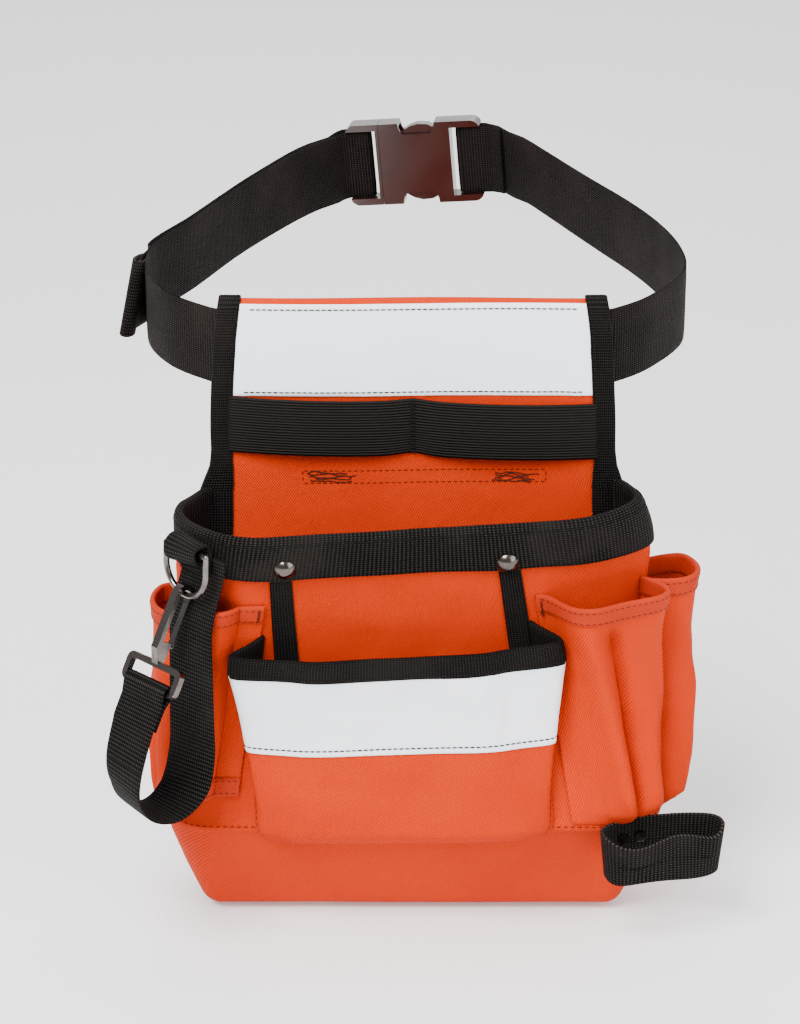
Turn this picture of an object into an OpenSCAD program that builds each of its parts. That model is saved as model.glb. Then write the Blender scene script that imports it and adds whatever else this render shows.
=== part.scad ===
// Electrician's tool pouch on an adjustable waist belt.
// +Z is up, +X is the wearer's left, the pouch hangs in front of the belt towards -Y.
// The origin is the centre of the belt tunnel's rear face, level with the belt's centre line.

/* [Pouch] */
// Width of the back panel at its top fold
panel_top_w = 196; // [186:1:200]
// Width of the back panel at the mouth
panel_mouth_w = 212; // [206:1:216]
// Height of the top fold above the belt's centre line
fold_top = 27; // [26:1:34]
// Level of the mouth's rim
mouth_z = -74; // [-80:1:-70]
// Level of the seam between the body and the base
seam_z = -241; // [-250:1:-235]
// Level of the bottom
bottom_z = -300; // [-310:1:-290]
// Half width of the body at the mouth
mouth_half_w = 117; // [112:1:120]
// Half width of the body at the seam
seam_half_w = 130; // [124:1:134]
// Half width of the bottom
bottom_half_w = 110; // [104:1:114]
// Depth from the back panel to the front at the mouth
mouth_d = 63; // [60:1:70]
// Depth at the seam
seam_d = 65; // [60:1:70]
// Depth of the bottom
bottom_d = 43; // [38:1:50]
// How far the front draws in between the mouth and the seam
waist_d = 13; // [0:1:16]
// Radius of the body's front corners at the mouth
mouth_r = 46; // [40:1:48]
// Radius of the body's front corners at the seam
seam_r = 36; // [30:1:42]
// Thickness of the coated cloth with its lining
cloth_t = 1.8; // [1:0.1:2.4]

/* [Webbing] */
// Width of the belt
belt_w = 40; // [38:1:42]
// Thickness of the belt
belt_t = 1.8; // [1.4:0.1:2]
// Height of the webbing round the mouth
band_h = 25; // [20:1:28]
// Width of the hanging strap
strap_w = 30; // [26:1:30]
// Thickness of the hanging strap
strap_t = 1.5; // [1.2:0.1:1.8]
// Height of the reflective tape
tape_h = 48; // [40:1:50]
// Height of the tool elastic
elastic_h = 29; // [25:1:30]

/* [Hardware] */
// Length of the closed buckle
buckle_len = 82; // [80:1:84]
// Height of the buckle across the belt
buckle_h = 50; // [49:1:54]
// Thickness of the buckle
buckle_t = 13; // [12:1:15]
// Wire diameter of the D-ring
ring_wire = 3.2; // [2.8:0.1:3.4]
// Radius of the D-ring's bow, at the middle of the wire
ring_r = 15; // [14.5:0.5:15.5]
// Angle at which the hook leans away from the bag
hook_lean = 30; // [26:1:34]
// Outer width of the hook's eye
eye_w = 40; // [39:1:42]

/* [Hidden] */
$fn = 48;
gap = 0.3;
panel_front_y = -8.6;
panel_t = 2.4;
panel_top_z = 21.6;
panel_back_y = panel_front_y + panel_t;
tunnel_half_w = 75;
tunnel_low_z = -62;
tunnel_t = 1.4;
binding_w = 9.5;
elastic_z = -42.4;
binding_t = 1.2;
tape_t = 0.6;
rim_tilt = 0.02;
front_skew = 0.10;
back_tuck = 10;
body_back_y = panel_front_y - 0.4;
band_t = 1.4;
band_gap = 1.7;
side_end = 0.10;
corner_end = 0.28;

// The closed buckle sits askew: the two halves of the belt pull it down to the left.
buckle_at = [3, 313, 5];
buckle_roll = -5;
buckle_yaw = -8;
inner_bar_x = 29.5;
outer_bar_x = 39;
bar_r = 2;
socket_mouth_x = -20.5;
socket_end_x = 22.5;
window_x = [-8.5, 13.5];
prong_pivot = [-15.5, 14];
prong_root_r = 2.2;
prong_tip_x = 13;

// The hanging strap's own frame: x along the D-ring's bar, -y away from the bag's corner.
ring_at = [-114, -72.5, -83];
strap_yaw = -45;
wire_r = ring_wire / 2;
ring_leg = 9.5;
ring_lean = 2;
hook_x = -2;
hook_t = 4.6;
hook_in = 3.6;
hook_out = 6.4;
arch_z = -1;
hook_foot_z = -28;
eye_top_z = -38;
eye_h = 15;
eye_bar = 3.4;
gate_pivot = [5, -27];

rivet_s = [0.306, 0.642];
rivet_z = [-91.5, -92.5];
rivet_post_r = 1.5;

cloth = [1, 0.35, 0.12];
hem_cloth = [0.93, 0.38, 0.2];
webbing = [0.1, 0.1, 0.1];
silver_tape = [0.86, 0.88, 0.92];
gunmetal = [0.35, 0.34, 0.33];
buckle_plastic = [0.2, 0.09, 0.08];

// ---- curves and surfaces ----

function mix(a, b, t) = a + (b - a) * t;
function clamp01(t) = max(0, min(1, t));
function drop(z) = clamp01((z - mouth_z) / (seam_z - mouth_z));
function under(z) = clamp01((seam_z - z) / (seam_z - bottom_z));
function half_w(z) = mix(mix(mouth_half_w, seam_half_w, drop(z)), bottom_half_w, under(z));
function depth(z) = mix(mix(mouth_d, seam_d, drop(z)) - waist_d * sin(180 * drop(z)), bottom_d, under(z));
function corner(z) = mix(mix(mouth_r, seam_r, drop(z)), 8, under(z));
function tilt(z) = rim_tilt * (1 - drop(z));

// A point of the body's outside at level z: s runs from 0 at the left edge of the back panel,
// round the front, to 1 at the right edge.
function half_path(m, w, d, r) =
    m < side_end ? [w, (d - r) * m / side_end]
    : m < corner_end ? let (a = 90 * (m - side_end) / (corner_end - side_end))
        [w - r + r * cos(a), d - r + r * sin(a)]
    : [(w - r) * (0.5 - m) / (0.5 - corner_end), d];
function body_at(s, z) = let (
    d = depth(z),
    p = half_path(min(s, 1 - s), half_w(z), d, corner(z)),
    far = p.y / d,
    x = (s < 0.5 ? -1 : 1) * (p.x - back_tuck * pow(1 - clamp01(p.y / 32), 2))
) [x, body_back_y - p.y + front_skew * (1 - drop(z)) * x * far];
function unit(v) = v / norm(v);
function body_out(s, z) = let (d = body_at(s + 0.004, z) - body_at(s - 0.004, z)) unit([d.y, -d.x]);

// A row of points along the body from s[0] to s[1], standing off by the bulge over the share act.
function row(z, s, bulge, power, base, lean, n, act = [0, 1]) = [
    for (i = [0:n]) let (
        t = i / n,
        u = mix(s[0], s[1], t),
        v = clamp01((t - act[0]) / (act[1] - act[0])),
        p = body_at(u, z) + body_out(u, z) * (base + bulge * (1 - pow(abs(2 * v - 1), power)))
    ) [p.x, p.y, z + (tilt(z) + lean) * p.x]
];
function row_out(r, i) = let (
    d = r[min(i + 1, len(r) - 1)] - r[max(i - 1, 0)]
) unit([d.y, -d.x, 0]);

// A sheet through rows of points, from inner to outer along each row's own outward direction.
module wall(rows, inner, outer) {
    n = len(rows[0]);
    m = len(rows);
    points = [
        for (side = [outer, inner]) for (r = rows) for (i = [0:n - 1]) r[i] + row_out(r, i) * side
    ];
    function at(side, j, i) = (side * m + j) * n + i;
    faces = [
        for (j = [0:m - 2]) for (i = [0:n - 2]) each [
            [at(0, j, i), at(0, j, i + 1), at(0, j + 1, i)],
            [at(0, j, i + 1), at(0, j + 1, i + 1), at(0, j + 1, i)],
            [at(1, j, i), at(1, j + 1, i), at(1, j, i + 1)],
            [at(1, j, i + 1), at(1, j + 1, i), at(1, j + 1, i + 1)]
        ],
        for (i = [0:n - 2]) each [
            [at(0, 0, i), at(1, 0, i), at(0, 0, i + 1)],
            [at(0, 0, i + 1), at(1, 0, i), at(1, 0, i + 1)],
            [at(0, m - 1, i), at(0, m - 1, i + 1), at(1, m - 1, i)],
            [at(0, m - 1, i + 1), at(1, m - 1, i + 1), at(1, m - 1, i)]
        ],
        for (j = [0:m - 2]) each [
            [at(0, j, 0), at(0, j + 1, 0), at(1, j, 0)],
            [at(0, j + 1, 0), at(1, j + 1, 0), at(1, j, 0)],
            [at(0, j, n - 1), at(1, j, n - 1), at(0, j + 1, n - 1)],
            [at(0, j + 1, n - 1), at(1, j, n - 1), at(1, j + 1, n - 1)]
        ]
    ];
    polyhedron(points, faces);
}

// A flat strap swept along stations, each [centre, half-width vector, half thickness].
function along(st, i, closed) = let (
    n = len(st),
    a = closed ? st[(i + n - 1) % n][0] : st[max(i - 1, 0)][0],
    b = closed ? st[(i + 1) % n][0] : st[min(i + 1, n - 1)][0]
) unit(b - a);
module strap(st, closed = false) {
    n = len(st);
    last = closed ? n - 1 : n - 2;
    points = [
        for (i = [0:n - 1]) let (
            c = st[i][0],
            w = st[i][1],
            t = unit(cross(along(st, i, closed), w)) * st[i][2]
        ) each [c + w + t, c - w + t, c - w - t, c + w - t]
    ];
    sides = [
        for (i = [0:last]) for (k = [0:3]) let (
            a = 4 * i + k, b = 4 * i + (k + 1) % 4,
            c = 4 * ((i + 1) % n) + k, d = 4 * ((i + 1) % n) + (k + 1) % 4
        ) each [[a, c, b], [b, c, d]]
    ];
    ends = closed ? [] : [
        [0, 1, 2], [0, 2, 3],
        [4 * n - 2, 4 * n - 3, 4 * n - 4], [4 * n - 1, 4 * n - 2, 4 * n - 4]
    ];
    polyhedron(points, concat(sides, ends));
}

// A smooth curve through hand-placed points, n steps a span.
function spline_point(a, b, c, d, t) = 0.5 * (
    2 * b + (c - a) * t + (2 * a - 5 * b + 4 * c - d) * t * t + (3 * b - a - 3 * c + d) * t * t * t
);
function spline(p, n) = [
    for (i = [0:len(p) - 2]) for (k = [0:n - 1]) spline_point(
        p[max(i - 1, 0)], p[i], p[i + 1], p[min(i + 2, len(p) - 1)], k / n
    ),
    p[len(p) - 1]
];

// A bar with round ends or corners, kept as true arcs.
module round_rect(size, r) {
    square([size.x, size.y - 2 * r], center = true);
    square([size.x - 2 * r, size.y], center = true);
    for (x = [-1, 1], y = [-1, 1])
        translate([x * (size.x / 2 - r), y * (size.y / 2 - r)]) circle(r);
}
module upright(t) {
    rotate([90, 0, 0]) linear_extrude(t, center = true) children();
}

// ---- the panel ----

module back_panel() {
    color(cloth) translate([0, panel_front_y + panel_t, 0]) rotate([90, 0, 0])
        linear_extrude(panel_t) polygon([
            [-panel_top_w / 2, panel_top_z], [panel_top_w / 2, panel_top_z],
            [panel_mouth_w / 2, -67], [half_w(mouth_z) - back_tuck, -100],
            [seam_half_w - back_tuck, seam_z], [bottom_half_w - 2, bottom_z + 3],
            [-bottom_half_w + 2, bottom_z + 3], [-seam_half_w + back_tuck, seam_z],
            [-half_w(mouth_z) + back_tuck, -100], [-panel_mouth_w / 2, -67]
        ]);
}

module fold_profile() {
    r = -panel_front_y / 2;
    translate([-r, fold_top - r]) intersection() {
        difference() {
            circle(r);
            circle(r - tunnel_t);
        }
        translate([-2 * r, 0]) square([4 * r, 2 * r]);
    }
    for (y = [-tunnel_t, -2 * r]) translate([y, panel_top_z + 0.4])
        square([tunnel_t, fold_top - r - panel_top_z - 0.3]);
}
module belt_tunnel() {
    color(cloth) {
        rotate([90, 0, 90]) linear_extrude(panel_top_w, center = true) fold_profile();
        rotate([90, 0, 90]) linear_extrude(2 * tunnel_half_w, center = true) polygon([
            [0, 23.4], [-tunnel_t, 23.4], [-tunnel_t, tunnel_low_z], [panel_back_y + 0.1 + tunnel_t, -66],
            [panel_back_y + 0.1 + tunnel_t, -67], [panel_back_y + 0.1, -67], [panel_back_y + 0.1, -76],
            [panel_back_y + 0.1 + tunnel_t, -76], [panel_back_y + 0.1 + 2 * tunnel_t, -66],
            [0, tunnel_low_z]
        ]);
    }
}

// Webbing folded over one side edge of the panel, from the fold down to the mouth.
module panel_binding(side) {
    top = [panel_top_w / 2, panel_top_z];
    low = [panel_mouth_w / 2, -67];
    turn = atan2(top.x - low.x, top.y - low.y);
    length = norm(top - low);
    color(webbing) mirror([side < 0 ? 1 : 0, 0, 0])
        translate([low.x, 0, low.y]) rotate([0, turn, 0]) translate([0, panel_front_y + panel_t / 2, 0])
        difference() {
            translate([-binding_w + binding_t + 0.1, -panel_t / 2 - 0.1 - binding_t, 0])
                cube([binding_w, panel_t + 0.2 + 2 * binding_t, length]);
            translate([-binding_w, -panel_t / 2 - 0.1, -1])
                cube([binding_w + 0.1, panel_t + 0.2, length + 2]);
        }
}
module panel_binding_left() {
    panel_binding(-1);
}
module panel_binding_right() {
    panel_binding(1);
}

// Half of the space between the two bindings at level z.
function panel_inner(z) = mix(panel_top_w, panel_mouth_w, (panel_top_z - z) / (panel_top_z + 67)) / 2 + binding_t + 0.1 - binding_w;
module upper_reflective_strip() {
    top_z = panel_top_z - 0.6;
    top = panel_inner(top_z) - 0.3;
    low = panel_inner(top_z - tape_h) - 0.3;
    color(silver_tape) translate([0, panel_front_y - 0.1, 0]) rotate([90, 0, 0]) linear_extrude(tape_t)
        polygon([[-top, top_z], [top, top_z], [low, top_z - tape_h], [-low, top_z - tape_h]]);
}

// Elastic tacked at both edges and in the middle, so it stands off as two tool loops.
module elastic_band() {
    half = panel_inner(elastic_z + elastic_h / 2) - 0.3;
    bow = 6;
    steps = 20;
    color(webbing) strap([
        for (k = [-steps:steps]) let (x = half * k / steps)
            [[x, panel_front_y - 0.9 - bow * pow(sin(180 * abs(k) / steps), 0.8), elastic_z],
             [0, 0, elastic_h / 2], 0.7]
    ]);
}

// ---- the bag ----

body_steps = 60;
function body_rows(levels, s = [0, 1], n = body_steps) = [for (z = levels) row(z, s, 0, 2, 0, 0, n)];

// The seat of one rivet of the mouth band, square to the sloping cloth.
module rivet_frame(k, off) {
    p = body_at(rivet_s[k], rivet_z[k]);
    o = body_out(rivet_s[k], rivet_z[k]);
    slope = (body_at(rivet_s[k], rivet_z[k] + 4) - body_at(rivet_s[k], rivet_z[k] - 4)) * o / 8;
    translate([p.x, p.y, rivet_z[k]]) rotate([0, 0, atan2(o.y, o.x)])
        rotate([0, 90 + atan(slope), 0]) translate([0, 0, off]) children();
}
module rivet_holes() {
    for (k = [0, 1]) rivet_frame(k, -8) cylinder(h = 16, r = rivet_post_r + 0.2);
}

module front_body() {
    color(cloth) difference() {
        wall(body_rows([for (k = [0:10]) mix(mouth_z - 0.5, seam_z + 0.3, k / 10)]), -cloth_t, 0);
        rivet_holes();
    }
}

module base_panel() {
    floor_row = row(bottom_z, [0, 1], 0, 2, -cloth_t + 0.4, 0, 48);
    color(cloth) difference() {
        base_shell(floor_row);
        loop_rivet_holes();
    }
}
module base_shell(floor_row) {
    union() {
        wall(body_rows([for (k = [0:6]) mix(seam_z, bottom_z, k / 6)]), -cloth_t, 0);
        translate([0, 0, bottom_z]) linear_extrude(cloth_t)
            polygon([for (p = floor_row) [p.x, p.y]]);
    }
}

// Webbing folded over a rim, as one U-shaped section swept along the rim's rows.
module rim_binding(rows_of, z_top, h, inner, outer, t) {
    low = z_top - h;
    mid = z_top - h / 2;
    section = [
        [low, outer + t], [mid, outer + t], [z_top + t, outer + t],
        [z_top + t, inner - t], [mid, inner - t], [low, inner - t],
        [low, inner], [mid, inner], [z_top, inner], [z_top, outer], [mid, outer], [low, outer]
    ];
    rows = rows_of([for (p = section) p[0]]);
    n = len(rows[0]);
    m = len(section);
    points = [for (i = [0:n - 1]) for (k = [0:m - 1]) rows[k][i] + row_out(rows[k], i) * section[k][1]];
    cap = [
        [0, 1, 10], [0, 10, 11], [1, 2, 9], [1, 9, 10], [2, 3, 8],
        [2, 8, 9], [3, 4, 7], [3, 7, 8], [4, 5, 6], [4, 6, 7]
    ];
    sides = [
        for (i = [0:n - 2]) for (k = [0:m - 1]) let (
            a = m * i + k, b = m * i + (k + 1) % m, c = a + m, d = b + m
        ) each [[a, b, c], [b, d, c]]
    ];
    ends = [for (f = cap) each [[f[2], f[1], f[0]], [for (v = f) v + m * (n - 1)]]];
    polyhedron(points, concat(sides, ends));
}

module mouth_band() {
    color(webbing) difference() {
        rim_binding(
            function(levels) body_rows(levels), mouth_z, band_h - band_t, -cloth_t - gap, band_gap, band_t
        );
        rivet_holes();
    }
}

// ---- pockets: each is given by its levels, its stretch of the body and its bulge ----
// [top, bottom, stretch at the top, stretch at the bottom, bulge by depth, squareness, stand-off,
// tilt, share of the stretch that bulges]

front_pocket_form = [
    -140, -250, [0.257, 0.709], [0.313, 0.676],
    [[0, 20], [0.3, 16], [0.6, 11.5], [0.9, 7], [0.97, 5], [1, 0.2]], 7, 4.3, 0.012, [0, 1]
];
right_front_form = [
    -115, -238, [0.674, 0.838], [0.68, 0.838],
    [[0, 17], [0.3, 13], [0.7, 10], [0.94, 7], [1, 0.1]], 3, 1.6, 0, [0.26, 1]
];
right_rear_form = [
    -114, -238, [0.85, 0.945], [0.85, 0.945],
    [[0, 23], [0.5, 17], [0.8, 12], [0.95, 8], [1, 0.1]], 4, 1.6, 0, [0, 1]
];
left_rear_form = [
    -126, -238, [0.05, 0.188], [0.05, 0.188],
    [[0, 15], [0.3, 11], [0.7, 7], [0.94, 4], [1, 0.1]], 3, 1.6, 0, [0, 1]
];
tool_tunnel_form = [
    -115, -222, [0.199, 0.285], [0.199, 0.272],
    [[0, 9.5], [0.5, 9], [1, 9]], 3, 1.6, 0, [0, 0.6]
];
pocket_t = 1.2;
pocket_steps = 30;
function pocket_row(f, z, n) = let (t = clamp01((f[0] - z) / (f[0] - f[1])))
    row(z, [mix(f[2][0], f[3][0], t), mix(f[2][1], f[3][1], t)], lookup(t, f[4]), f[5], f[6], f[7], n, f[8]);
function pocket_rows(f, levels) = [for (z = levels) pocket_row(f, z, pocket_steps)];
module pocket(f, depths = [0, 0.15, 0.3, 0.5, 0.7, 0.9, 0.97, 1]) {
    wall(pocket_rows(f, [for (t = depths) mix(f[0], f[1], t)]), 0, pocket_t);
}
module pocket_hem(f, z_top, h, t) {
    rim_binding(function(levels) pocket_rows(f, levels), z_top, h, -gap, pocket_t + gap, t);
}

module front_pocket() {
    color(cloth) pocket(front_pocket_form);
}
module pocket_binding() {
    color(webbing) pocket_hem(front_pocket_form, -139.5, 11.5, 1);
}
module pocket_reflective_strip() {
    color(silver_tape) wall(
        pocket_rows(front_pocket_form, [-151.8, -165, -180, -195]), pocket_t + gap, pocket_t + 0.8
    );
}
module right_front_pocket() {
    color(cloth) pocket(right_front_form);
}
module right_front_hem() {
    color(hem_cloth) pocket_hem(right_front_form, -114.5, 9, 0.8);
}
module right_rear_pocket() {
    color(cloth) pocket(right_rear_form);
}
module right_rear_hem() {
    color(hem_cloth) pocket_hem(right_rear_form, -113.5, 9, 0.8);
}
module left_rear_pocket() {
    color(cloth) pocket(left_rear_form);
}
module left_rear_hem() {
    color(hem_cloth) pocket_hem(left_rear_form, -125.5, 9, 0.8);
}
module tool_tunnel() {
    color(cloth) pocket(tool_tunnel_form, [0, 0.25, 0.5, 0.75, 1]);
}
module tunnel_upper_hem() {
    color(hem_cloth) pocket_hem(tool_tunnel_form, -114.5, 9, 0.8);
}
module tunnel_lower_hem() {
    color(hem_cloth) wall(pocket_rows(tool_tunnel_form, [-212, -217, -222]), pocket_t + gap, pocket_t + 1.1);
}

// Narrow webbing from the mouth band down behind the front pocket.
module support_strap(k, s_low) {
    half = 0.016;
    levels = [-83, -99, -115, -131, -147];
    color(webbing) difference() {
        wall([
            for (z = levels) let (s = mix(rivet_s[k], s_low, clamp01((-99 - z) / 48)))
                row(z, [s - half, s + half], 0, 2, 0, 0, 4)
        ], gap, gap + 1.2);
        rivet_holes();
    }
}
module support_strap_left() {
    support_strap(0, 0.332);
}
module support_strap_right() {
    support_strap(1, 0.645);
}

module band_rivet_caps() {
    seat = band_gap + band_t + 0.3;
    color(gunmetal) for (k = [0, 1]) rivet_frame(k, seat) {
        intersection() {
            translate([0, 0, -4]) sphere(r = 6.8);
            cylinder(h = 4, r = 5.5);
        }
    }
}
module band_rivet_posts() {
    low = -cloth_t - gap - band_t - 0.3;
    high = band_gap + band_t + 0.3;
    color(gunmetal) for (k = [0, 1]) rivet_frame(k, low) cylinder(h = high - low, r = rivet_post_r);
}
module band_rivet_washers() {
    seat = -cloth_t - gap - band_t - 0.3;
    color(gunmetal) for (k = [0, 1]) rivet_frame(k, seat - 1) cylinder(h = 1, r = 5);
}

// ---- hammer loop: a ring of belt webbing riveted to the right front corner ----

loop_at = [132.5, -79.4, -252.5];
loop_turn = 14;
loop_half = [31, 11.5];
loop_square = 0.6;
loop_h = 28;
loop_t = 1.8;
loop_rivet_x = [-21, -12];
loop_hole_r = 1.4;
function loop_point(a) = let (
    x = loop_half.x * sign(cos(a)) * pow(abs(cos(a)), loop_square),
    y = loop_half.y * sign(sin(a)) * pow(abs(sin(a)), loop_square)
) loop_at + [x * cos(loop_turn) - y * sin(loop_turn), x * sin(loop_turn) + y * cos(loop_turn), 0];
function loop_wall_y(x) =
    loop_half.y * pow(1 - pow(abs(x) / loop_half.x, 2 / loop_square), loop_square / 2);

// Stands on the inner face of the loop's rear wall, pointing into the loop.
module loop_rivet_frame(x) {
    translate(loop_at) rotate([0, 0, loop_turn])
        translate([x, loop_wall_y(x) - loop_t / 2 - 0.9, 7]) rotate([90, 0, 0]) children();
}
module loop_rivet_holes() {
    for (x = loop_rivet_x) loop_rivet_frame(x) translate([0, 0, -12]) cylinder(h = 14, r = loop_hole_r);
}
module hammer_loop() {
    color(webbing) difference() {
        strap([for (k = [0:59]) [loop_point(6 * k), [0, 0, loop_h / 2], loop_t / 2]], closed = true);
        loop_rivet_holes();
    }
}
module hammer_loop_rivets() {
    color(gunmetal) for (x = loop_rivet_x) loop_rivet_frame(x) {
        cylinder(h = 1.4, r = 3.2);
        translate([0, 0, -7]) cylinder(h = 7.1, r = loop_hole_r - 0.2);
    }
}

// ---- D-ring, hook and hanging strap, in the strap's own frame ----

module strap_frame() {
    translate(ring_at) rotate([0, 0, strap_yaw]) children();
}
module ring_tab() {
    color(webbing) strap_frame() rotate([90, 0, 90]) linear_extrude(22, center = true) {
        difference() {
            union() {
                circle(wire_r + gap + 1.3);
                translate([0, 0.6]) square([6.6, 2.6]);
                translate([5.2, -13]) square([1.4, 16.2]);
            }
            circle(wire_r + gap);
        }
    }
}
module d_ring() {
    color(gunmetal) strap_frame() rotate([-ring_lean, 0, 0]) {
        rotate([0, 90, 0]) cylinder(h = 2 * ring_r, r = wire_r, center = true);
        for (x = [-ring_r, ring_r]) {
            translate([x, 0, 0]) sphere(r = wire_r);
            translate([x, 0, -ring_leg]) cylinder(h = ring_leg, r = wire_r);
        }
        translate([0, 0, -ring_leg]) rotate([90, 0, 0]) rotate([0, 0, 180])
            rotate_extrude(angle = 180) translate([ring_r, 0]) circle(wire_r);
    }
}

// The hook's frame: origin at the middle of the ring's wire, x along the wire, z up the shank.
ring_low = ring_leg + ring_r;
module hook_frame() {
    strap_frame() translate([hook_x, -ring_low * sin(ring_lean), -ring_low * cos(ring_lean)])
        rotate([-hook_lean, 0, 0]) children();
}
module snap_hook() {
    color(gunmetal) hook_frame() {
        rotate([90, 0, 90]) linear_extrude(hook_t, center = true) {
            translate([0, arch_z]) intersection() {
                difference() {
                    circle(hook_out);
                    circle(hook_in);
                }
                translate([-10, 0]) square([20, 10]);
            }
            translate([-hook_out, hook_foot_z]) square([hook_out - hook_in, arch_z - hook_foot_z + 0.01]);
            translate([hook_in, arch_z - 2.6]) square([hook_out - hook_in, 2.61]);
            polygon([
                [-hook_out, hook_foot_z + 2], [2.4, hook_foot_z + 2], [2.4, hook_foot_z - 3],
                [1.7, eye_top_z], [-1.7, eye_top_z], [-hook_out, hook_foot_z - 2]
            ]);
        }
        translate([0, 0, eye_top_z + eye_bar / 2 - eye_h / 2 - 0.01]) upright(eye_bar) difference() {
            round_rect([eye_w, eye_h], 4);
            round_rect([eye_w - 2 * eye_bar, eye_h - 2 * eye_bar], 1.6);
        }
    }
}
module hook_gate() {
    length = arch_z - 2.9 - gate_pivot.y;
    color(gunmetal) hook_frame() rotate([90, 0, 90]) linear_extrude(3.6, center = true) {
        translate(gate_pivot) circle(1.4);
        translate([gate_pivot.x - 1, gate_pivot.y]) square([1.3, length]);
    }
}

// Stations of the hanging strap: along the bar, away from the bag, and up. It hangs from the
// mouth band, turns back up and ends round the lower bar of the hook's eye.
hang_points = [
    [17.5, -4.2, -3], [17.5, -4.2, -14], [17.5, -4, -28], [14, -0.5, -45], [11, 2, -64], [9, 3, -92],
    [9, 4.5, -110], [9, 12, -127], [9, 27, -134.5], [9, 42, -128], [8.5, 49, -115], [7, 47.5, -101]
];
eye_low_z = eye_top_z + eye_bar - eye_h;
eye_wrap_r = eye_bar / 2 * sqrt(2) + gap + strap_t / 2;
fold_off = strap_t / 2 + 0.2;
function in_strap_frame(p) = let (c = cos(strap_yaw), s = sin(strap_yaw))
    ring_at + [p.x * c + p.y * s, p.x * s - p.y * c, p.z];
function hook_to_strap(y, z) = [
    hook_x,
    ring_low * sin(ring_lean) - y * cos(hook_lean) - z * sin(hook_lean),
    -ring_low * cos(ring_lean) - y * sin(hook_lean) + z * cos(hook_lean)
];
eye_end = concat(
    [hook_to_strap(-fold_off, eye_low_z - 16), hook_to_strap(-fold_off, eye_low_z - 8)],
    [for (a = [0:20:180]) hook_to_strap(-eye_wrap_r * cos(a), eye_low_z + eye_wrap_r * sin(a))],
    [hook_to_strap(fold_off, eye_low_z - 8), hook_to_strap(fold_off, eye_low_z - 20)]
);
module hanging_strap() {
    half = [cos(strap_yaw), sin(strap_yaw), 0] * strap_w / 2;
    run = concat(spline(concat(hang_points, [hook_to_strap(-fold_off, eye_low_z - 20)]), 6), eye_end);
    color(webbing) strap([for (p = run) [in_strap_frame(p), half, strap_t / 2]]);
}

// ---- belt ----

module buckle_frame() {
    translate(buckle_at) rotate([0, buckle_roll, buckle_yaw]) children();
}
function turn_z(p, a) = [p.x * cos(a) - p.y * sin(a), p.x * sin(a) + p.y * cos(a), p.z];
function turn_y(p, a) = [p.x * cos(a) + p.z * sin(a), p.y, p.z * cos(a) - p.x * sin(a)];
function from_buckle(p) = buckle_at + turn_z(turn_y(p, buckle_roll), buckle_yaw);
buckle_up = turn_z(turn_y([0, 0, 1], buckle_roll), buckle_yaw);
bar_wrap_r = bar_r + gap + belt_t / 2;
lay = 2.5 + gap + belt_t / 2;

// Local stations round a buckle bar, from the near face to the far face.
function bar_wrap(side) = [
    for (a = [-90:15:90]) [side * (inner_bar_x - bar_wrap_r * cos(a)), bar_wrap_r * sin(a), 0]
];
function local_stations(p) = [for (q = p) [from_buckle(q), buckle_up * belt_w / 2, belt_t / 2]];

// The belt's run from the buckle's right end, through the tunnel, to its left end.
ring_points = [
    [60, 293], [87, 253], [112, 206], [133, 152], [144, 102], [143, 60], [124, 22], [106, 2], [94, -3.1],
    [60, -3.1], [0, -3.1], [-60, -3.1], [-94, -3.1], [-106, 4], [-122, 26], [-136, 60], [-138, 105],
    [-121, 152], [-97, 214], [-74, 261], [-57, 289]
];
ring_run = spline(ring_points, 6);
ring_end = len(ring_run) - 1;
function buckle_share(y) = clamp01((y - 200) / 80);
function ring_station(p) = [
    [p.x, p.y, buckle_share(p.y) * (p.x < 0 ? 1.8 : 8.2)],
    mix([0, 0, 1], buckle_up, buckle_share(p.y)) * belt_w / 2, belt_t / 2
];

// The free end lies outside the left half of the belt and ends in a folded hem.
tail_off = belt_t + 0.9;
tail_from = 16 * 6;
tail_run = concat(
    [for (i = [ring_end:-1:tail_from]) let (d = unit(ring_run[i] - ring_run[i - 1]))
        ring_run[i] + [-d.y, d.x] * tail_off],
    [[-142.5, 96], [-145.5, 88], [-148, 81], [-149.5, 75]]
);
tail_low = len(tail_run) - 1;
function tail_station(i) = let (
    p = tail_run[i],
    out = clamp01((i - tail_low + 4) / 4),
    up = mix([0, 0, 1], buckle_up, buckle_share(p.y)) + [0.2, 0.12, 0] * out
) [[p.x, p.y, buckle_share(p.y) * 1.8], up * belt_w / 2, i > tail_low - 2 ? 2 : belt_t / 2];
flap = [[53.6, -10, 0], [50, -6.6, 0], [46, -4.2, 0], [41, -lay, 0]];
right_bend = [[41, lay, 0], [44, 2.8, 0], [47.6, -0.6, 0], [52.4, -5, 0]];
left_bend = [[-46.8, -13, 0], [-45.4, -9, 0], [-43.6, -6, 0], [-41, -lay, 0]];
tail_bend = [[-41, lay, 0], [-43.8, 3, 0], [-46.4, -0.4, 0], [-48.4, -6, 0], [-50.2, -13, 0]];
module belt_webbing() {
    color(webbing) strap(concat(
        local_stations(concat(flap, bar_wrap(1), right_bend)),
        [for (p = ring_run) ring_station(p)],
        local_stations(concat(left_bend, bar_wrap(-1), tail_bend)),
        [for (i = [0:tail_low]) tail_station(i)]
    ));
}

// ---- buckle, in its own frame: x along the belt, z across it ----

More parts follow.
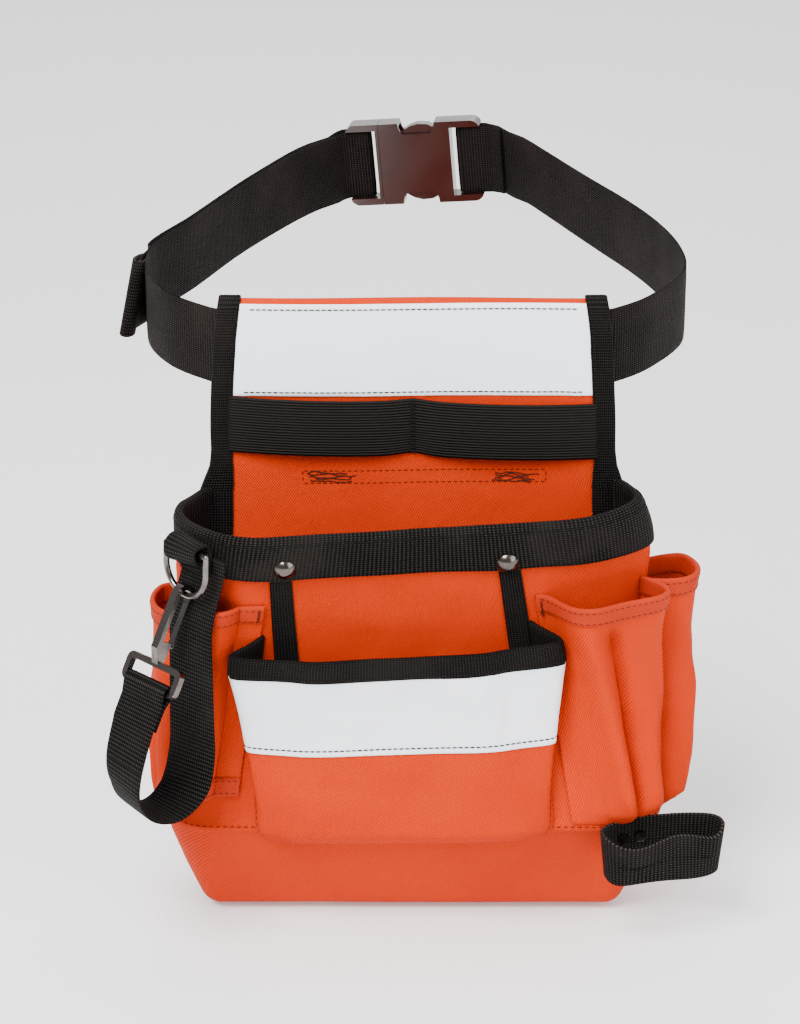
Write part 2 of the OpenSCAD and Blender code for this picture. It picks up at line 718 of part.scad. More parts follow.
module notch(z_side) {
    mid = (window_x[0] + window_x[1]) / 2;
    w = window_x[1] - window_x[0];
    upright(buckle_t + 2) translate([mid, z_side * buckle_h / 2]) intersection() {
        circle(r = w / 2);
        square([w, 14], center = true);
    }
}
module socket_frame_2d() {
    mid = (socket_end_x + buckle_len / 2) / 2;
    difference() {
        union() {
            translate([(socket_mouth_x + socket_end_x) / 2, 0])
                square([socket_end_x - socket_mouth_x, buckle_h], center = true);
            translate([mid - 4, 0]) round_rect([buckle_len / 2 - socket_end_x + 8, buckle_h], 6);
        }
        translate([(socket_end_x + outer_bar_x - 2) / 2, 0])
            square([outer_bar_x - 2 - socket_end_x, belt_w + 2], center = true);
    }
}
module strap_bars(side) {
    translate([side * inner_bar_x, 0, 0]) cylinder(h = belt_w + 2.2, r = bar_r, center = true);
}
// Thins the end bar so that the belt can pass on both sides of it.
module end_bar_relief(side) {
    for (y = [-1, 1]) translate([side * (outer_bar_x + 2), y * (2.5 + 5), 0])
        cube([8.1, 10, belt_w + 2], center = true);
}
module buckle_socket() {
    color(buckle_plastic) buckle_frame() {
        difference() {
            upright(buckle_t) socket_frame_2d();
            translate([socket_mouth_x - 1, -4.4, -buckle_h / 2 + 2.4])
                cube([socket_end_x - socket_mouth_x - 2, 8.8, buckle_h - 4.8]);
            for (z = [-1, 1]) {
                notch(z);
                translate([window_x[0], -4.4, z > 0 ? buckle_h / 2 - 6 : -buckle_h / 2 - 1])
                    cube([window_x[1] - window_x[0], 8.8, 7]);
            }
            end_bar_relief(1);
        }
        strap_bars(1);
    }
}
module buckle_plug() {
    flange_x = socket_mouth_x - gap;
    mid = -(buckle_len / 2 - flange_x) / 2;
    w = buckle_len / 2 + flange_x;
    color(buckle_plastic) buckle_frame() {
        difference() {
            upright(buckle_t) difference() {
                translate([-(buckle_len / 2 - flange_x) / 2 + 0, 0]) union() {
                    translate([2, 0]) square([w - 4, buckle_h], center = true);
                    translate([-2, 0]) round_rect([w - 4, buckle_h], 6);
                }
                translate([(flange_x - outer_bar_x) / 2, 0])
                    square([outer_bar_x - 2 + flange_x - 2, belt_w + 2], center = true);
            }
            end_bar_relief(-1);
        }
        strap_bars(-1);
        difference() {
            translate([flange_x - 0.1, -4, -17.5]) cube([prong_pivot.x - flange_x + 0.1, 8, 35]);
            for (z = [-1, 1]) translate([prong_pivot.x, 0, z * prong_pivot.y]) rotate([90, 0, 0])
                cylinder(h = 20, r = prong_root_r + gap, center = true);
        }
        translate([prong_pivot.x - 0.5, -1.5, -4]) cube([28, 3, 8]);
    }
}
module prong(side) {
    tip = [prong_tip_x, 19.5];
    color(buckle_plastic) buckle_frame() mirror([0, 0, side < 0 ? 1 : 0]) upright(7) {
        translate(prong_pivot) circle(prong_root_r);
        polygon([
            prong_pivot + [-1, 1.6], [window_x[0] + 1, 19], [-2, 22.2], [3, 23.6], [9, 23.2], [13, 21.2],
            [13, 15.5], [6, 15.8], [-2, 15.2], prong_pivot - [1, 1.6]
        ]);
    }
}
module prong_upper() {
    prong(1);
}
module prong_lower() {
    prong(-1);
}

back_panel();
belt_tunnel();
panel_binding_left();
panel_binding_right();
upper_reflective_strip();
elastic_band();
front_body();
base_panel();
mouth_band();
front_pocket();
pocket_reflective_strip();
pocket_binding();
right_front_pocket();
right_front_hem();
right_rear_pocket();
right_rear_hem();
left_rear_pocket();
left_rear_hem();
tool_tunnel();
tunnel_upper_hem();
tunnel_lower_hem();
support_strap_left();
support_strap_right();
band_rivet_caps();
band_rivet_posts();
band_rivet_washers();
hammer_loop();
hammer_loop_rivets();
ring_tab();
d_ring();
snap_hook();
hook_gate();
hanging_strap();
belt_webbing();
buckle_socket();
buckle_plug();
prong_upper();
prong_lower();
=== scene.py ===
"""An orange electrician's tool pouch on its belt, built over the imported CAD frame."""
import math

import bmesh
import bpy
import numpy as np
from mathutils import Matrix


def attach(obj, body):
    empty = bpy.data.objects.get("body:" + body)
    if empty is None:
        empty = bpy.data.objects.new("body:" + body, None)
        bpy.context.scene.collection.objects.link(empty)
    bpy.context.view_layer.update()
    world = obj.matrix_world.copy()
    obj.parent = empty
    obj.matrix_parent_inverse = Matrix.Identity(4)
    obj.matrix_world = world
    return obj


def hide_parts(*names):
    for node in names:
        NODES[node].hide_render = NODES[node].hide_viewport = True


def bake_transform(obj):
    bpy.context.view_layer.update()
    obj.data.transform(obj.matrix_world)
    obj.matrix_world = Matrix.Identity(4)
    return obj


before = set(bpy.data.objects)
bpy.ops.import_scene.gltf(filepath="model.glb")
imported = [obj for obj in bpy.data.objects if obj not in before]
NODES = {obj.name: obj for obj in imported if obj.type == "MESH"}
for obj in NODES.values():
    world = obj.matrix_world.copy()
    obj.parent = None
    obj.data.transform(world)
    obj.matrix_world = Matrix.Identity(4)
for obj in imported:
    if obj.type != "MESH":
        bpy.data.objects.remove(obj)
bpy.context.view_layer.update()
scene = bpy.context.scene

# ---------------------------------------------------------------- camera and stage

CAMERA_AT = (-0.00667, -1.50627, 0.54634)
CAMERA_DOWN = 23  # degrees below level
CAMERA_LENS = 109.7
WORLD_LIGHT, FLOOR_GLOW = 0.52, 0.25
KEY_LIGHT, FILL_LIGHT, TOP_LIGHT, RIM_LIGHT = 102, 26, 15, 20  # watts
FLOOR_Z = -0.3025  # a little under the bag's base
SWEEP_START, SWEEP_RADIUS, SWEEP_STEPS = 3.0, 1.5, 24  # the floor's curve up into the backdrop


def make_camera():
    cam = bpy.data.cameras.new("camera")
    cam.sensor_width = 36
    cam.lens = CAMERA_LENS
    ob = bpy.data.objects.new("camera", cam)
    ob.location = CAMERA_AT
    ob.rotation_euler = (math.radians(90 - CAMERA_DOWN), 0, 0)
    scene.collection.objects.link(ob)
    scene.camera = ob


def area_light(name, at, size, power, aim=(0, 0, -0.1)):
    light = bpy.data.lights.new(name, "AREA")
    light.shape = "RECTANGLE"
    light.size, light.size_y = size
    light.energy = power
    ob = bpy.data.objects.new(name, light)
    ob.location = at
    d = np.array(aim) - np.array(at)
    ob.rotation_euler = (math.atan2(math.hypot(d[0], d[1]), -d[2]), 0, math.atan2(d[1], d[0]) - math.pi / 2)
    scene.collection.objects.link(ob)


def make_stage():
    world = bpy.data.worlds.new("studio")
    world.use_nodes = True
    world.node_tree.nodes["Background"].inputs[0].default_value = (1, 1, 1, 1)
    world.node_tree.nodes["Background"].inputs[1].default_value = WORLD_LIGHT
    scene.world = world
    area_light("key", (-0.7, -1.1, 1.5), (1.1, 1.1), KEY_LIGHT)
    area_light("fill", (1.3, -0.9, 0.5), (1.2, 1.2), FILL_LIGHT)
    area_light("top", (0.1, 0.5, 1.6), (1.6, 1.0), TOP_LIGHT)
    area_light("rim", (0, 2.3, 1.0), (2.6, 0.6), RIM_LIGHT, aim=(0, 0.3, 0))
    rows = [(-4.0, FLOOR_Z)]
    for k in range(SWEEP_STEPS + 1):
        a = math.pi / 2 * k / SWEEP_STEPS
        rows.append((SWEEP_START + SWEEP_RADIUS * math.sin(a), FLOOR_Z + SWEEP_RADIUS * (1 - math.cos(a))))
    rows.append((SWEEP_START + SWEEP_RADIUS, 5.0))
    verts = [(x, y, z) for y, z in rows for x in (-6.0, 6.0)]
    faces = [(2 * i, 2 * i + 1, 2 * i + 3, 2 * i + 2) for i in range(len(rows) - 1)]
    me = bpy.data.meshes.new("floor")
    me.from_pydata(verts, [], faces)
    ob = bpy.data.objects.new("floor", me)
    scene.collection.objects.link(ob)
    me.materials.append(floor_material())


# ---------------------------------------------------------------- materials


class Graph:
    """A few short calls for building one node material."""

    def __init__(self, name):
        self.mat = bpy.data.materials.new(name)
        self.mat.use_nodes = True
        self.tree = self.mat.node_tree
        self.shader = self.tree.nodes["Principled BSDF"]

    def put(self, socket, value):
        if isinstance(value, bpy.types.NodeSocket):
            self.tree.links.new(value, socket)
        elif isinstance(value, tuple) and len(value) == 3 and socket.type == "RGBA":
            socket.default_value = (*value, 1)
        else:
            socket.default_value = value

    def math(self, kind, a, b=0.0, c=0.0):
        n = self.tree.nodes.new("ShaderNodeMath")
        n.operation = kind
        for s, v in zip(n.inputs, (a, b, c)):
            self.put(s, v)
        return n.outputs[0]

    def uv(self):
        n = self.tree.nodes.new("ShaderNodeUVMap")
        n.uv_map = "UVMap"
        s = self.tree.nodes.new("ShaderNodeSeparateXYZ")
        self.put(s.inputs[0], n.outputs[0])
        return s.outputs[0], s.outputs[1]

    def noise(self, scale, detail=3.0, rough=0.5):
        n = self.tree.nodes.new("ShaderNodeTexNoise")
        self.put(n.inputs["Vector"], self.tree.nodes.new("ShaderNodeTexCoord").outputs["Object"])
        n.inputs["Scale"].default_value = scale
        n.inputs["Detail"].default_value = detail
        n.inputs["Roughness"].default_value = rough
        return n.outputs[0]

    def ramp(self, value, low, high, out=(0.0, 1.0)):
        """Carries low..high smoothly over to the two values of out."""
        n = self.tree.nodes.new("ShaderNodeMapRange")
        n.interpolation_type = "SMOOTHSTEP"
        for s, v in zip(n.inputs, (value, low, high, out[0], out[1])):
            self.put(s, v)
        return n.outputs[0]

    def mix(self, f, a, b):
        n = self.tree.nodes.new("ShaderNodeMix")
        n.data_type = "RGBA"
        self.put(n.inputs[0], f)
        self.put(n.inputs[6], a)
        self.put(n.inputs[7], b)
        return n.outputs[2]

    def bump(self, height, distance, strength, below=None):
        n = self.tree.nodes.new("ShaderNodeBump")
        n.inputs["Distance"].default_value = distance
        n.inputs["Strength"].default_value = strength
        self.put(n.inputs["Height"], height)
        if below is not None:
            self.put(n.inputs["Normal"], below)
        return n.outputs[0]

    def wave(self, x, y, pitch, turn):
        """A sine stripe of that pitch (mm) across the direction turn (degrees)."""
        a = math.radians(turn)
        u = self.math("MULTIPLY", x, 2 * math.pi * math.cos(a) / pitch)
        v = self.math("MULTIPLY", y, 2 * math.pi * math.sin(a) / pitch)
        return self.math("SINE", self.math("ADD", u, v))

    def finish(self, **sockets):
        for name, value in sockets.items():
            self.put(self.shader.inputs[name.replace("_", " ")], value)
        return self.mat


def floor_material():
    g = Graph("floor_paper")
    return g.finish(Base_Color=g.mix(g.noise(6), (0.86, 0.86, 0.86), (0.88, 0.88, 0.88)), Roughness=0.9,
                    Specular_IOR_Level=0.1, Emission_Color=(1, 1, 1), Emission_Strength=FLOOR_GLOW)


def cloth_material(name, dark, light, pitch=1.0, depth=0.00016):
    """Coated polyester with a diagonal weave: the threads show as fine slanted dots."""
    g = Graph(name)
    x, y = g.uv()
    twill = g.wave(x, y, pitch, 28)
    cross = g.wave(x, y, pitch * 0.62, 118)
    threads = g.math("ADD", g.math("MULTIPLY", twill, 0.62), g.math("MULTIPLY", cross, 0.38))
    threads = g.math("MULTIPLY_ADD", g.noise(900, 2), 0.7, threads)
    tone = g.ramp(threads, -0.5, 1.25)
    patch = g.ramp(g.noise(14, 3), 0.3, 0.7, (0.0, 0.3))
    base = g.mix(tone, dark, light)
    base = g.mix(patch, base, tuple(c * 0.86 for c in dark))
    folds = g.bump(g.noise(38, 3, 0.55), 0.0035, 0.32)
    normal = g.bump(threads, depth, 0.75, folds)
    rough = g.ramp(tone, 0.0, 1.0, (0.66, 0.52))
    return g.finish(Base_Color=base, Roughness=rough, Normal=normal, Specular_IOR_Level=0.05)


def webbing_material(name, dark, light, across=1.35, along=2.1):
    """Nylon webbing: rows of small rounded thread loops, staggered from row to row, their crests painted
    lighter as a painted highlight.
    """
    g = Graph(name)
    x, y = g.uv()
    pitch = 2.0 * across * along / math.hypot(across, along)
    turn = math.degrees(math.atan2(along, across))
    a = g.wave(x, y, pitch, turn)
    b = g.wave(x, y, pitch, -turn)
    loops = g.math("MULTIPLY", a, b)
    loops = g.math("MULTIPLY_ADD", g.noise(1100, 2), 0.5, loops)
    # painted highlight: the crests of the loops take the lighter colour in place of the shine on the nylon; the
    # loop pattern and its bump are the weave itself
    tone = g.ramp(loops, 0.55, 1.3)
    worn = g.ramp(g.noise(25, 4), 0.4, 0.75, (0.0, 0.5))
    base = g.mix(tone, dark, light)
    base = g.mix(worn, base, tuple(c * 0.45 for c in light))
    normal = g.bump(loops, 0.00035, 0.9, g.bump(g.noise(45, 2), 0.002, 0.25))
    return g.finish(Base_Color=base, Roughness=g.ramp(tone, 0, 1, (0.8, 0.45)), Normal=normal,
                    Specular_IOR_Level=0.08)


def ribbed_material(name, dark, light, pitch):
    """Ribbed elastic: ribs along its length with a fine cross thread."""
    g = Graph(name)
    x, y = g.uv()
    ribs = g.wave(x, y, pitch, 90)
    fine = g.wave(x, y, 0.7, 180)
    h = g.math("MULTIPLY_ADD", fine, 0.22, ribs)
    h = g.math("MULTIPLY_ADD", g.noise(700, 2), 0.6, h)
    tone = g.ramp(h, -0.6, 1.4)
    normal = g.bump(h, 0.0004, 0.8, g.bump(g.noise(40, 2), 0.002, 0.2))
    return g.finish(Base_Color=g.mix(tone, dark, light), Roughness=0.65, Normal=normal,
                    Specular_IOR_Level=0.1)


def tape_material():
    """Retroreflective tape: a fine grey bead texture under a smooth, slightly creased face."""
    g = Graph("reflective_tape")
    beads = g.noise(1500, 2, 0.7)
    cloud = g.noise(22, 3)
    base = g.mix(g.ramp(beads, 0.3, 0.75), (0.86, 0.90, 0.96), (0.93, 0.96, 0.99))
    base = g.mix(g.ramp(cloud, 0.35, 0.7, (0, 0.45)), base, (0.87, 0.91, 0.98))
    normal = g.bump(beads, 0.00012, 0.5, g.bump(g.noise(30, 3, 0.6), 0.003, 0.22))
    return g.finish(Base_Color=base, Roughness=g.ramp(cloud, 0.3, 0.7, (0.42, 0.55)), Normal=normal,
                    Specular_IOR_Level=0.5)


def metal_material(name, tint, rough):
    g = Graph(name)
    cloud = g.noise(120, 4)
    fine = g.noise(900, 2)
    base = g.mix(g.ramp(cloud, 0.35, 0.7), tint, tuple(c * 0.72 for c in tint))
    return g.finish(Base_Color=base, Metallic=1.0, Roughness=g.ramp(cloud, 0.3, 0.7, rough),
                    Normal=g.bump(fine, 0.00004, 0.4))


def plastic_material():
    """Moulded acetal with a polished face."""
    g = Graph("buckle_plastic")
    cloud = g.noise(40, 2)
    base = g.mix(g.ramp(cloud, 0.3, 0.7), (0.016, 0.0048, 0.0038), (0.019, 0.006, 0.0047))
    return g.finish(Base_Color=base, Normal=g.bump(g.noise(500, 2), 0.00003, 0.3), IOR=1.55,
                    Roughness=g.ramp(cloud, 0.3, 0.7, (0.2, 0.26)), Coat_Weight=0.4, Coat_Roughness=0.08)


def thread_material(name, colour):
    g = Graph(name)
    tone = g.ramp(g.noise(2500, 1), 0.3, 0.7)
    base = g.mix(tone, colour, tuple(c * 1.9 for c in colour))
    return g.finish(Base_Color=base, Roughness=0.85, Normal=g.bump(g.noise(3000, 1), 0.0001, 0.5),
                    Specular_IOR_Level=0.15)


ORANGE = cloth_material("orange_cloth", (0.44, 0.0145, 0.0), (0.62, 0.043, 0.0), 1.15, 0.0002)
HEM = cloth_material("hem_cloth", (0.34, 0.017, 0.004), (0.48, 0.036, 0.008), 1.1)
# the lighter colour of each webbing is the painted highlight on its loop crests
WEBBING = webbing_material("black_webbing", (0.0006, 0.0006, 0.0006), (0.044, 0.036, 0.031))
BELTING = webbing_material("belt_webbing", (0.0010, 0.0007, 0.0006), (0.044, 0.033, 0.028), 1.2, 1.7)
BINDING = webbing_material("black_binding", (0.0008, 0.0008, 0.0008), (0.032, 0.0265, 0.023), 1.1, 1.5)
ELASTIC = ribbed_material("tool_elastic", (0.0010, 0.0009, 0.0008), (0.014, 0.012, 0.010), 1.5)
TAPE = tape_material()
METAL = metal_material("dark_nickel", (0.16, 0.142, 0.132), (0.16, 0.3))
CAP_METAL = metal_material("rivet_nickel", (0.12, 0.10, 0.09), (0.12, 0.26))
PLASTIC = plastic_material()
DARK_THREAD = thread_material("dark_thread", (0.030, 0.007, 0.004))
BLACK_THREAD = thread_material("black_thread", (0.003, 0.003, 0.003))
GREY_THREAD = thread_material("grey_thread", (0.006, 0.006, 0.007))

# ---------------------------------------------------------------- meshes from grids (millimetres)


def metric_uv(grid):
    """UVs in millimetres, so that a weave has the same size on every piece."""
    du = np.linalg.norm(np.diff(grid, axis=1), axis=2).mean(0)
    dv = np.linalg.norm(np.diff(grid, axis=0), axis=2).mean(1)
    u = np.concatenate([[0], du.cumsum()])
    v = np.concatenate([[0], dv.cumsum()])
    return np.stack(np.meshgrid(u, v), axis=2)


def add_piece(name, verts, faces, uvs, mat, node=None, body="pouch", slot=None):
    """A mesh object that rides a body and stands in for a CAD node."""
    me = bpy.data.meshes.new(name)
    me.from_pydata((np.asarray(verts) * 0.001).tolist(), [], faces)
    bm = bmesh.new()
    bm.from_mesh(me)
    bmesh.ops.recalc_face_normals(bm, faces=bm.faces)
    bm.to_mesh(me)
    bm.free()
    layer = me.uv_layers.new(name="UVMap")
    loops = np.zeros(len(me.loops), dtype=np.int32)
    me.loops.foreach_get("vertex_index", loops)
    layer.data.foreach_set("uv", np.asarray(uvs, np.float32)[loops].ravel())
    me.polygons.foreach_set("use_smooth", np.ones(len(me.polygons), dtype=bool))
    me.materials.append(mat)
    ob = bpy.data.objects.new(name, me)
    scene.collection.objects.link(ob)
    if body:
        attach(ob, body)
    if node:
        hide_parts(node)
    return ob


EDGE = 0.35  # how far a rounded edge stands out, as a share of the thickness


def shell(name, outer, inner, mat, node=None, closed=False, **more):
    """A cloth of two faced grids whose free edges are rounded over."""
    outer, inner = np.asarray(outer, float), np.asarray(inner, float)
    m, n = outer.shape[:2]
    size = m * n
    uv = metric_uv(outer).reshape(-1, 2)
    verts = [outer.reshape(-1, 3), inner.reshape(-1, 3)]
    faces = []
    cols = n if closed else n - 1
    for j in range(m - 1):
        for i in range(cols):
            a, b = j * n + i, j * n + (i + 1) % n
            faces.append((a, b, b + n, a + n))
            faces.append((size + a, size + a + n, size + b + n, size + b))
    if closed:
        rims = [[(j, i) for i in range(n)] for j in (0, m - 1)]
    else:
        rims = [[(0, i) for i in range(n)] + [(j, n - 1) for j in range(1, m)]
                + [(m - 1, i) for i in range(n - 2, -1, -1)] + [(j, 0) for j in range(m - 2, 0, -1)]]
    count = 2 * size
    extra, extra_uv = [], []
    for rim in rims:
        k = len(rim)
        for j, i in rim:
            jn = 1 if j == 0 else (m - 2 if j == m - 1 else j)
            inn = i if closed else (1 if i == 0 else (n - 2 if i == n - 1 else i))
            mid = (outer[j, i] + inner[j, i]) / 2
            away = mid - (outer[jn, inn] + inner[jn, inn]) / 2
            t = np.linalg.norm(outer[j, i] - inner[j, i])
            extra.append(mid + away / (np.linalg.norm(away) + 1e-9) * t * EDGE)
            extra_uv.append(uv[j * n + i])
        for q in range(k):
            (ja, ia), (jb, ib) = rim[q], rim[(q + 1) % k]
            a, b = ja * n + ia, jb * n + ib
            ma, mb = count + q, count + (q + 1) % k
            faces.append((a, b, mb, ma))
            faces.append((ma, mb, size + b, size + a))
        count += k
    verts.append(np.array(extra))
    uvs = np.concatenate([uv, uv, np.array(extra_uv)])
    return add_piece(name, np.concatenate(verts), faces, uvs, mat, node, **more)


def sweep(centres, halves, half_t, across):
    """Outer and inner grids of a strap, from its centres and half-width vectors."""
    c, w = np.asarray(centres, float), np.asarray(halves, float)
    t = np.gradient(c, axis=0)
    nrm = np.cross(t, w)
    nrm /= np.linalg.norm(nrm, axis=1)[:, None]
    half_t = np.broadcast_to(np.asarray(half_t, float), (len(c),))[:, None]
    f = np.linspace(-1, 1, across)
    crown = 1 - 0.25 * np.abs(f) ** 6
    mid = c[None] + f[:, None, None] * w[None]
    off = nrm[None] * half_t[None] * crown[:, None, None]
    return mid + off, mid - off


def spline(points, n):
    """A Catmull-Rom curve through the points, n steps from one to the next."""
    p = np.asarray(points, float)
    out = []
    for i in range(len(p) - 1):
        a, b, c, d = p[max(i - 1, 0)], p[i], p[i + 1], p[min(i + 2, len(p) - 1)]
        for k in range(n):
            t = k / n
            out.append(0.5 * (2 * b + (c - a) * t + (2 * a - 5 * b + 4 * c - d) * t * t
                              + (3 * b - a - 3 * c + d) * t ** 3))
    out.append(p[-1])
    return np.array(out)


def stitches(name, paths, mat, length=2.6, pitch=3.4, r=0.32, body="pouch"):
    """Thread stitches along paths, each a small lozenge half sunk in the cloth."""
    verts, faces = [], []
    for path in paths:
        p = np.asarray(path, float)
        seg = np.linalg.norm(np.diff(p, axis=0), axis=1)
        s = np.concatenate([[0], seg.cumsum()])
        count = int(s[-1] / pitch)
        for k in range(count):
            mid = (k + 0.5) * s[-1] / count
            ends = [mid - length / 2, mid, mid + length / 2]
            q = np.stack([np.interp(ends, s, p[:, a]) for a in range(3)], axis=1)
            d = q[2] - q[0]
            d /= np.linalg.norm(d) + 1e-9
            up = np.array([0, 0, 1.0]) if abs(d[2]) < 0.9 else np.array([1.0, 0, 0])
            a = np.cross(d, up)
            a /= np.linalg.norm(a)
            b = np.cross(d, a)
            base = len(verts)
            verts.append(q[0])
            for f, rr in ((0.18, 0.85), (0.5, 1.0), (0.82, 0.85)):
                c = q[0] + (q[2] - q[0]) * f
                for g in range(6):
                    w = math.pi / 3 * g
                    verts.append(c + (a * math.cos(w) + b * math.sin(w)) * r * rr)
            verts.append(q[2])
            for g in range(6):
                h = (g + 1) % 6
                faces.append((base, base + 1 + g, base + 1 + h))
                for lay in (base + 1, base + 7):
                    faces.append((lay + g, lay + 6 + g, lay + 6 + h, lay + h))
                faces.append((base + 13 + g, base + 19, base + 13 + h))
    return add_piece(name, np.array(verts), faces, np.zeros((len(verts), 2)), mat, body=body)


# ---------------------------------------------------------------- the bag's surface (millimetres)

MOUTH_Z, SEAM_Z, BOTTOM_Z = -74.0, -241.0, -300.0
PANEL_Y = -8.6
BODY_Y = -9.0
RIVETS = [(0.306, -91.5), (0.642, -92.5)]  # share round the bag, and level
GIRTH = 370  # round the bag from edge to edge
SIDE_TO, CORNER_TO = 0.10, 0.28  # shares of the girth where a side and a corner end
MOUTH_TILT = 0.02
WALL = 1.8


def mix(a, b, t):
    return a + (b - a) * t


def clamp(t):
    return np.clip(t, 0.0, 1.0)


def smooth(t):
    t = clamp(t)
    return t * t * (3 - 2 * t)


def unit(v):
    return v / np.linalg.norm(v)


def floats(*arrays):
    """The arrays as floats of one shape."""
    return np.broadcast_arrays(*(np.asarray(a, float) for a in arrays))


def drop(z):
    """0 at the mouth, 1 at the base seam."""
    return clamp((z - MOUTH_Z) / (SEAM_Z - MOUTH_Z))


def under(z):
    """0 at the base seam, 1 at the bottom."""
    return clamp((SEAM_Z - z) / (SEAM_Z - BOTTOM_Z))


def half_w(z):
    return mix(mix(117, 130.5, drop(z)), 110, under(z) ** 1.25)


def depth(z):
    return mix(mix(63, 65, drop(z)) - 13 * np.sin(np.pi * drop(z)), 43, under(z))


def corner(z):
    """Radius of the bag's two front corners."""
    return mix(mix(46, 28, drop(z)), 8, under(z))


def level_shift(x, z, extra=0.0):
    """The mouth hangs a little lower on the left, and the seam is level."""
    return z + (MOUTH_TILT * (1 - drop(z)) + extra) * x


def body_xy(s, z):
    """The plain outline: a side, a round corner, the front, and the same again to the right."""
    s, z = floats(s, z)
    m = np.minimum(s, 1 - s)
    w, d, r = half_w(z), depth(z), corner(z)
    a = np.pi / 2 * (m - SIDE_TO) / (CORNER_TO - SIDE_TO)
    on_side, on_corner = m < SIDE_TO, m < CORNER_TO
    px = np.where(on_corner, w - r + r * np.cos(a), (w - r) * (0.5 - m) / (0.5 - CORNER_TO))
    px = np.where(on_side, w, px)
    py = np.where(on_corner, d - r + r * np.sin(a), d)
    py = np.where(on_side, (d - r) * m / SIDE_TO, py)
    x = np.where(s < 0.5, -1, 1) * (px - 10 * (1 - clamp(py / 32)) ** 2)
    return np.stack([x, BODY_Y - py + 0.10 * (1 - drop(z)) * x * py / d], axis=-1)


def body_out(s, z):
    """The outward direction of the plain outline."""
    d = body_xy(np.asarray(s) + 0.004, z) - body_xy(np.asarray(s) - 0.004, z)
    v = np.stack([d[..., 1], -d[..., 0]], axis=-1)
    return v / np.linalg.norm(v, axis=-1)[..., None]


RIPPLE_WAVES = 6


def ripple(x, y, seed, scale):
    """Smooth unevenness about -1 to 1, a few waves of that length in mixed directions."""
    rng = np.random.default_rng(seed)
    total = 0
    for _ in range(RIPPLE_WAVES):
        a, ph, k = rng.uniform(0, np.pi), rng.uniform(0, 2 * np.pi), rng.uniform(0.7, 1.5)
        total = total + np.sin(2 * np.pi * k / scale * (x * np.cos(a) + y * np.sin(a)) + ph)
    return total / RIPPLE_WAVES * 1.6


def sag(s, z):
    """How far the cloth of the bag stands out from the plain form."""
    x = s * GIRTH
    d = 1.0 * ripple(x, z, 3, 95) + 0.45 * ripple(x, z, 5, 34)
    for rs, rz in RIVETS:
        d = d * (1 - np.exp(-(((s - rs) * GIRTH) ** 2 + (z - rz) ** 2) / 600.0))
    ends = clamp(np.minimum(s, 1 - s) * 14)
    d = d * ends * mix(1.0, 0.55, clamp((-225 - z) / 20))
    fade = clamp((z + 150) / 45)
    d = d + 4.6 * np.exp(-((s - 0.125) / 0.055) ** 2) * fade
    return d + 4.6 * np.exp(-((s - 0.878) / 0.05) ** 2) * fade * smooth((-68 - z) / 30)


def on_body(s, z, off=0.0):
    """Points on the bag at share s round it, level z and offset off."""
    s, z, off = floats(s, z, off)
    p = body_xy(s, z) + body_out(s, z) * (off + sag(s, z))[..., None]
    return np.stack([p[..., 0], p[..., 1], level_shift(p[..., 0], z)], axis=-1)


def rim_path(z_top, h, outer, inner, t, legs=5):
    """Levels and offsets of a strip of thickness t folded over a rim: its outer and inner faces."""
    mid, half = (outer + inner) / 2, (outer - inner) / 2
    bend = 5
    faces = []
    for grow in (t, 0.0):
        lv = [(z_top - h * (1 - k / legs), mid + half + grow) for k in range(legs)]
        lv += [(z_top + (half * 0.5 + grow) * math.sin(math.pi * k / bend),
                mid + (half + grow) * math.cos(math.pi * k / bend)) for k in range(bend + 1)]
        lv += [(z_top - h * (k + 1) / legs, mid - half - grow) for k in range(legs)]
        faces.append(np.array(lv))
    return faces


def along_rim(points_of, u, path):
    """A grid that carries a rim path along a row: points_of(u, z, off)."""
    return points_of(u[None, :], path[:, 0][:, None], path[:, 1][:, None])


# ---------------------------------------------------------------- panel, tunnel and bindings

PANEL_Z = [27, 6, -27, -55, -64, -78, -100, -241, -297]
PANEL_EDGE = [99, 102, 104, 104.8, 105.8, 110.8, 112, 121, 109]
FOLD_Y, FOLD_Z = -4.3, 22.7  # axis of the panel's top fold
REAR_Y = -0.05  # the tunnel's rear sheet
CLOTH_T = 1.3


def panel_edge(z):
    return np.interp(-np.asarray(z, float), [-v for v in PANEL_Z], PANEL_EDGE)


def panel_sway(x, z):
    """Slight waves in the panel below its top fold."""
    return 0.5 * ripple(x, z, 11, 120) * clamp((20 - z) / 30) - 0.5


def over_fold(y, h):
    """Carries the panel's face over its top fold: above the bend's start, h runs round the bend."""
    a = clamp((h - FOLD_Z) / 13.5) * np.pi
    r = FOLD_Y - y
    return (np.where(h > FOLD_Z, FOLD_Y - r * np.cos(a), y),
            np.where(h > FOLD_Z, FOLD_Z + r * np.sin(a), h))


def make_panel():
    z = np.concatenate([np.linspace(22.4, -100, 40), np.linspace(-106, -297, 30)])
    x = np.linspace(-1, 1, 61)[None, :] * (panel_edge(z)[:, None] - 1.4)
    zz = np.broadcast_to(z[:, None], x.shape)
    y = PANEL_Y + 0.5 + panel_sway(x, zz)
    front = np.stack([x, y, zz], axis=-1)
    back = front + np.array([0, 2.2, 0])
    shell("panel_cloth", front, back, ORANGE, "back_panel")


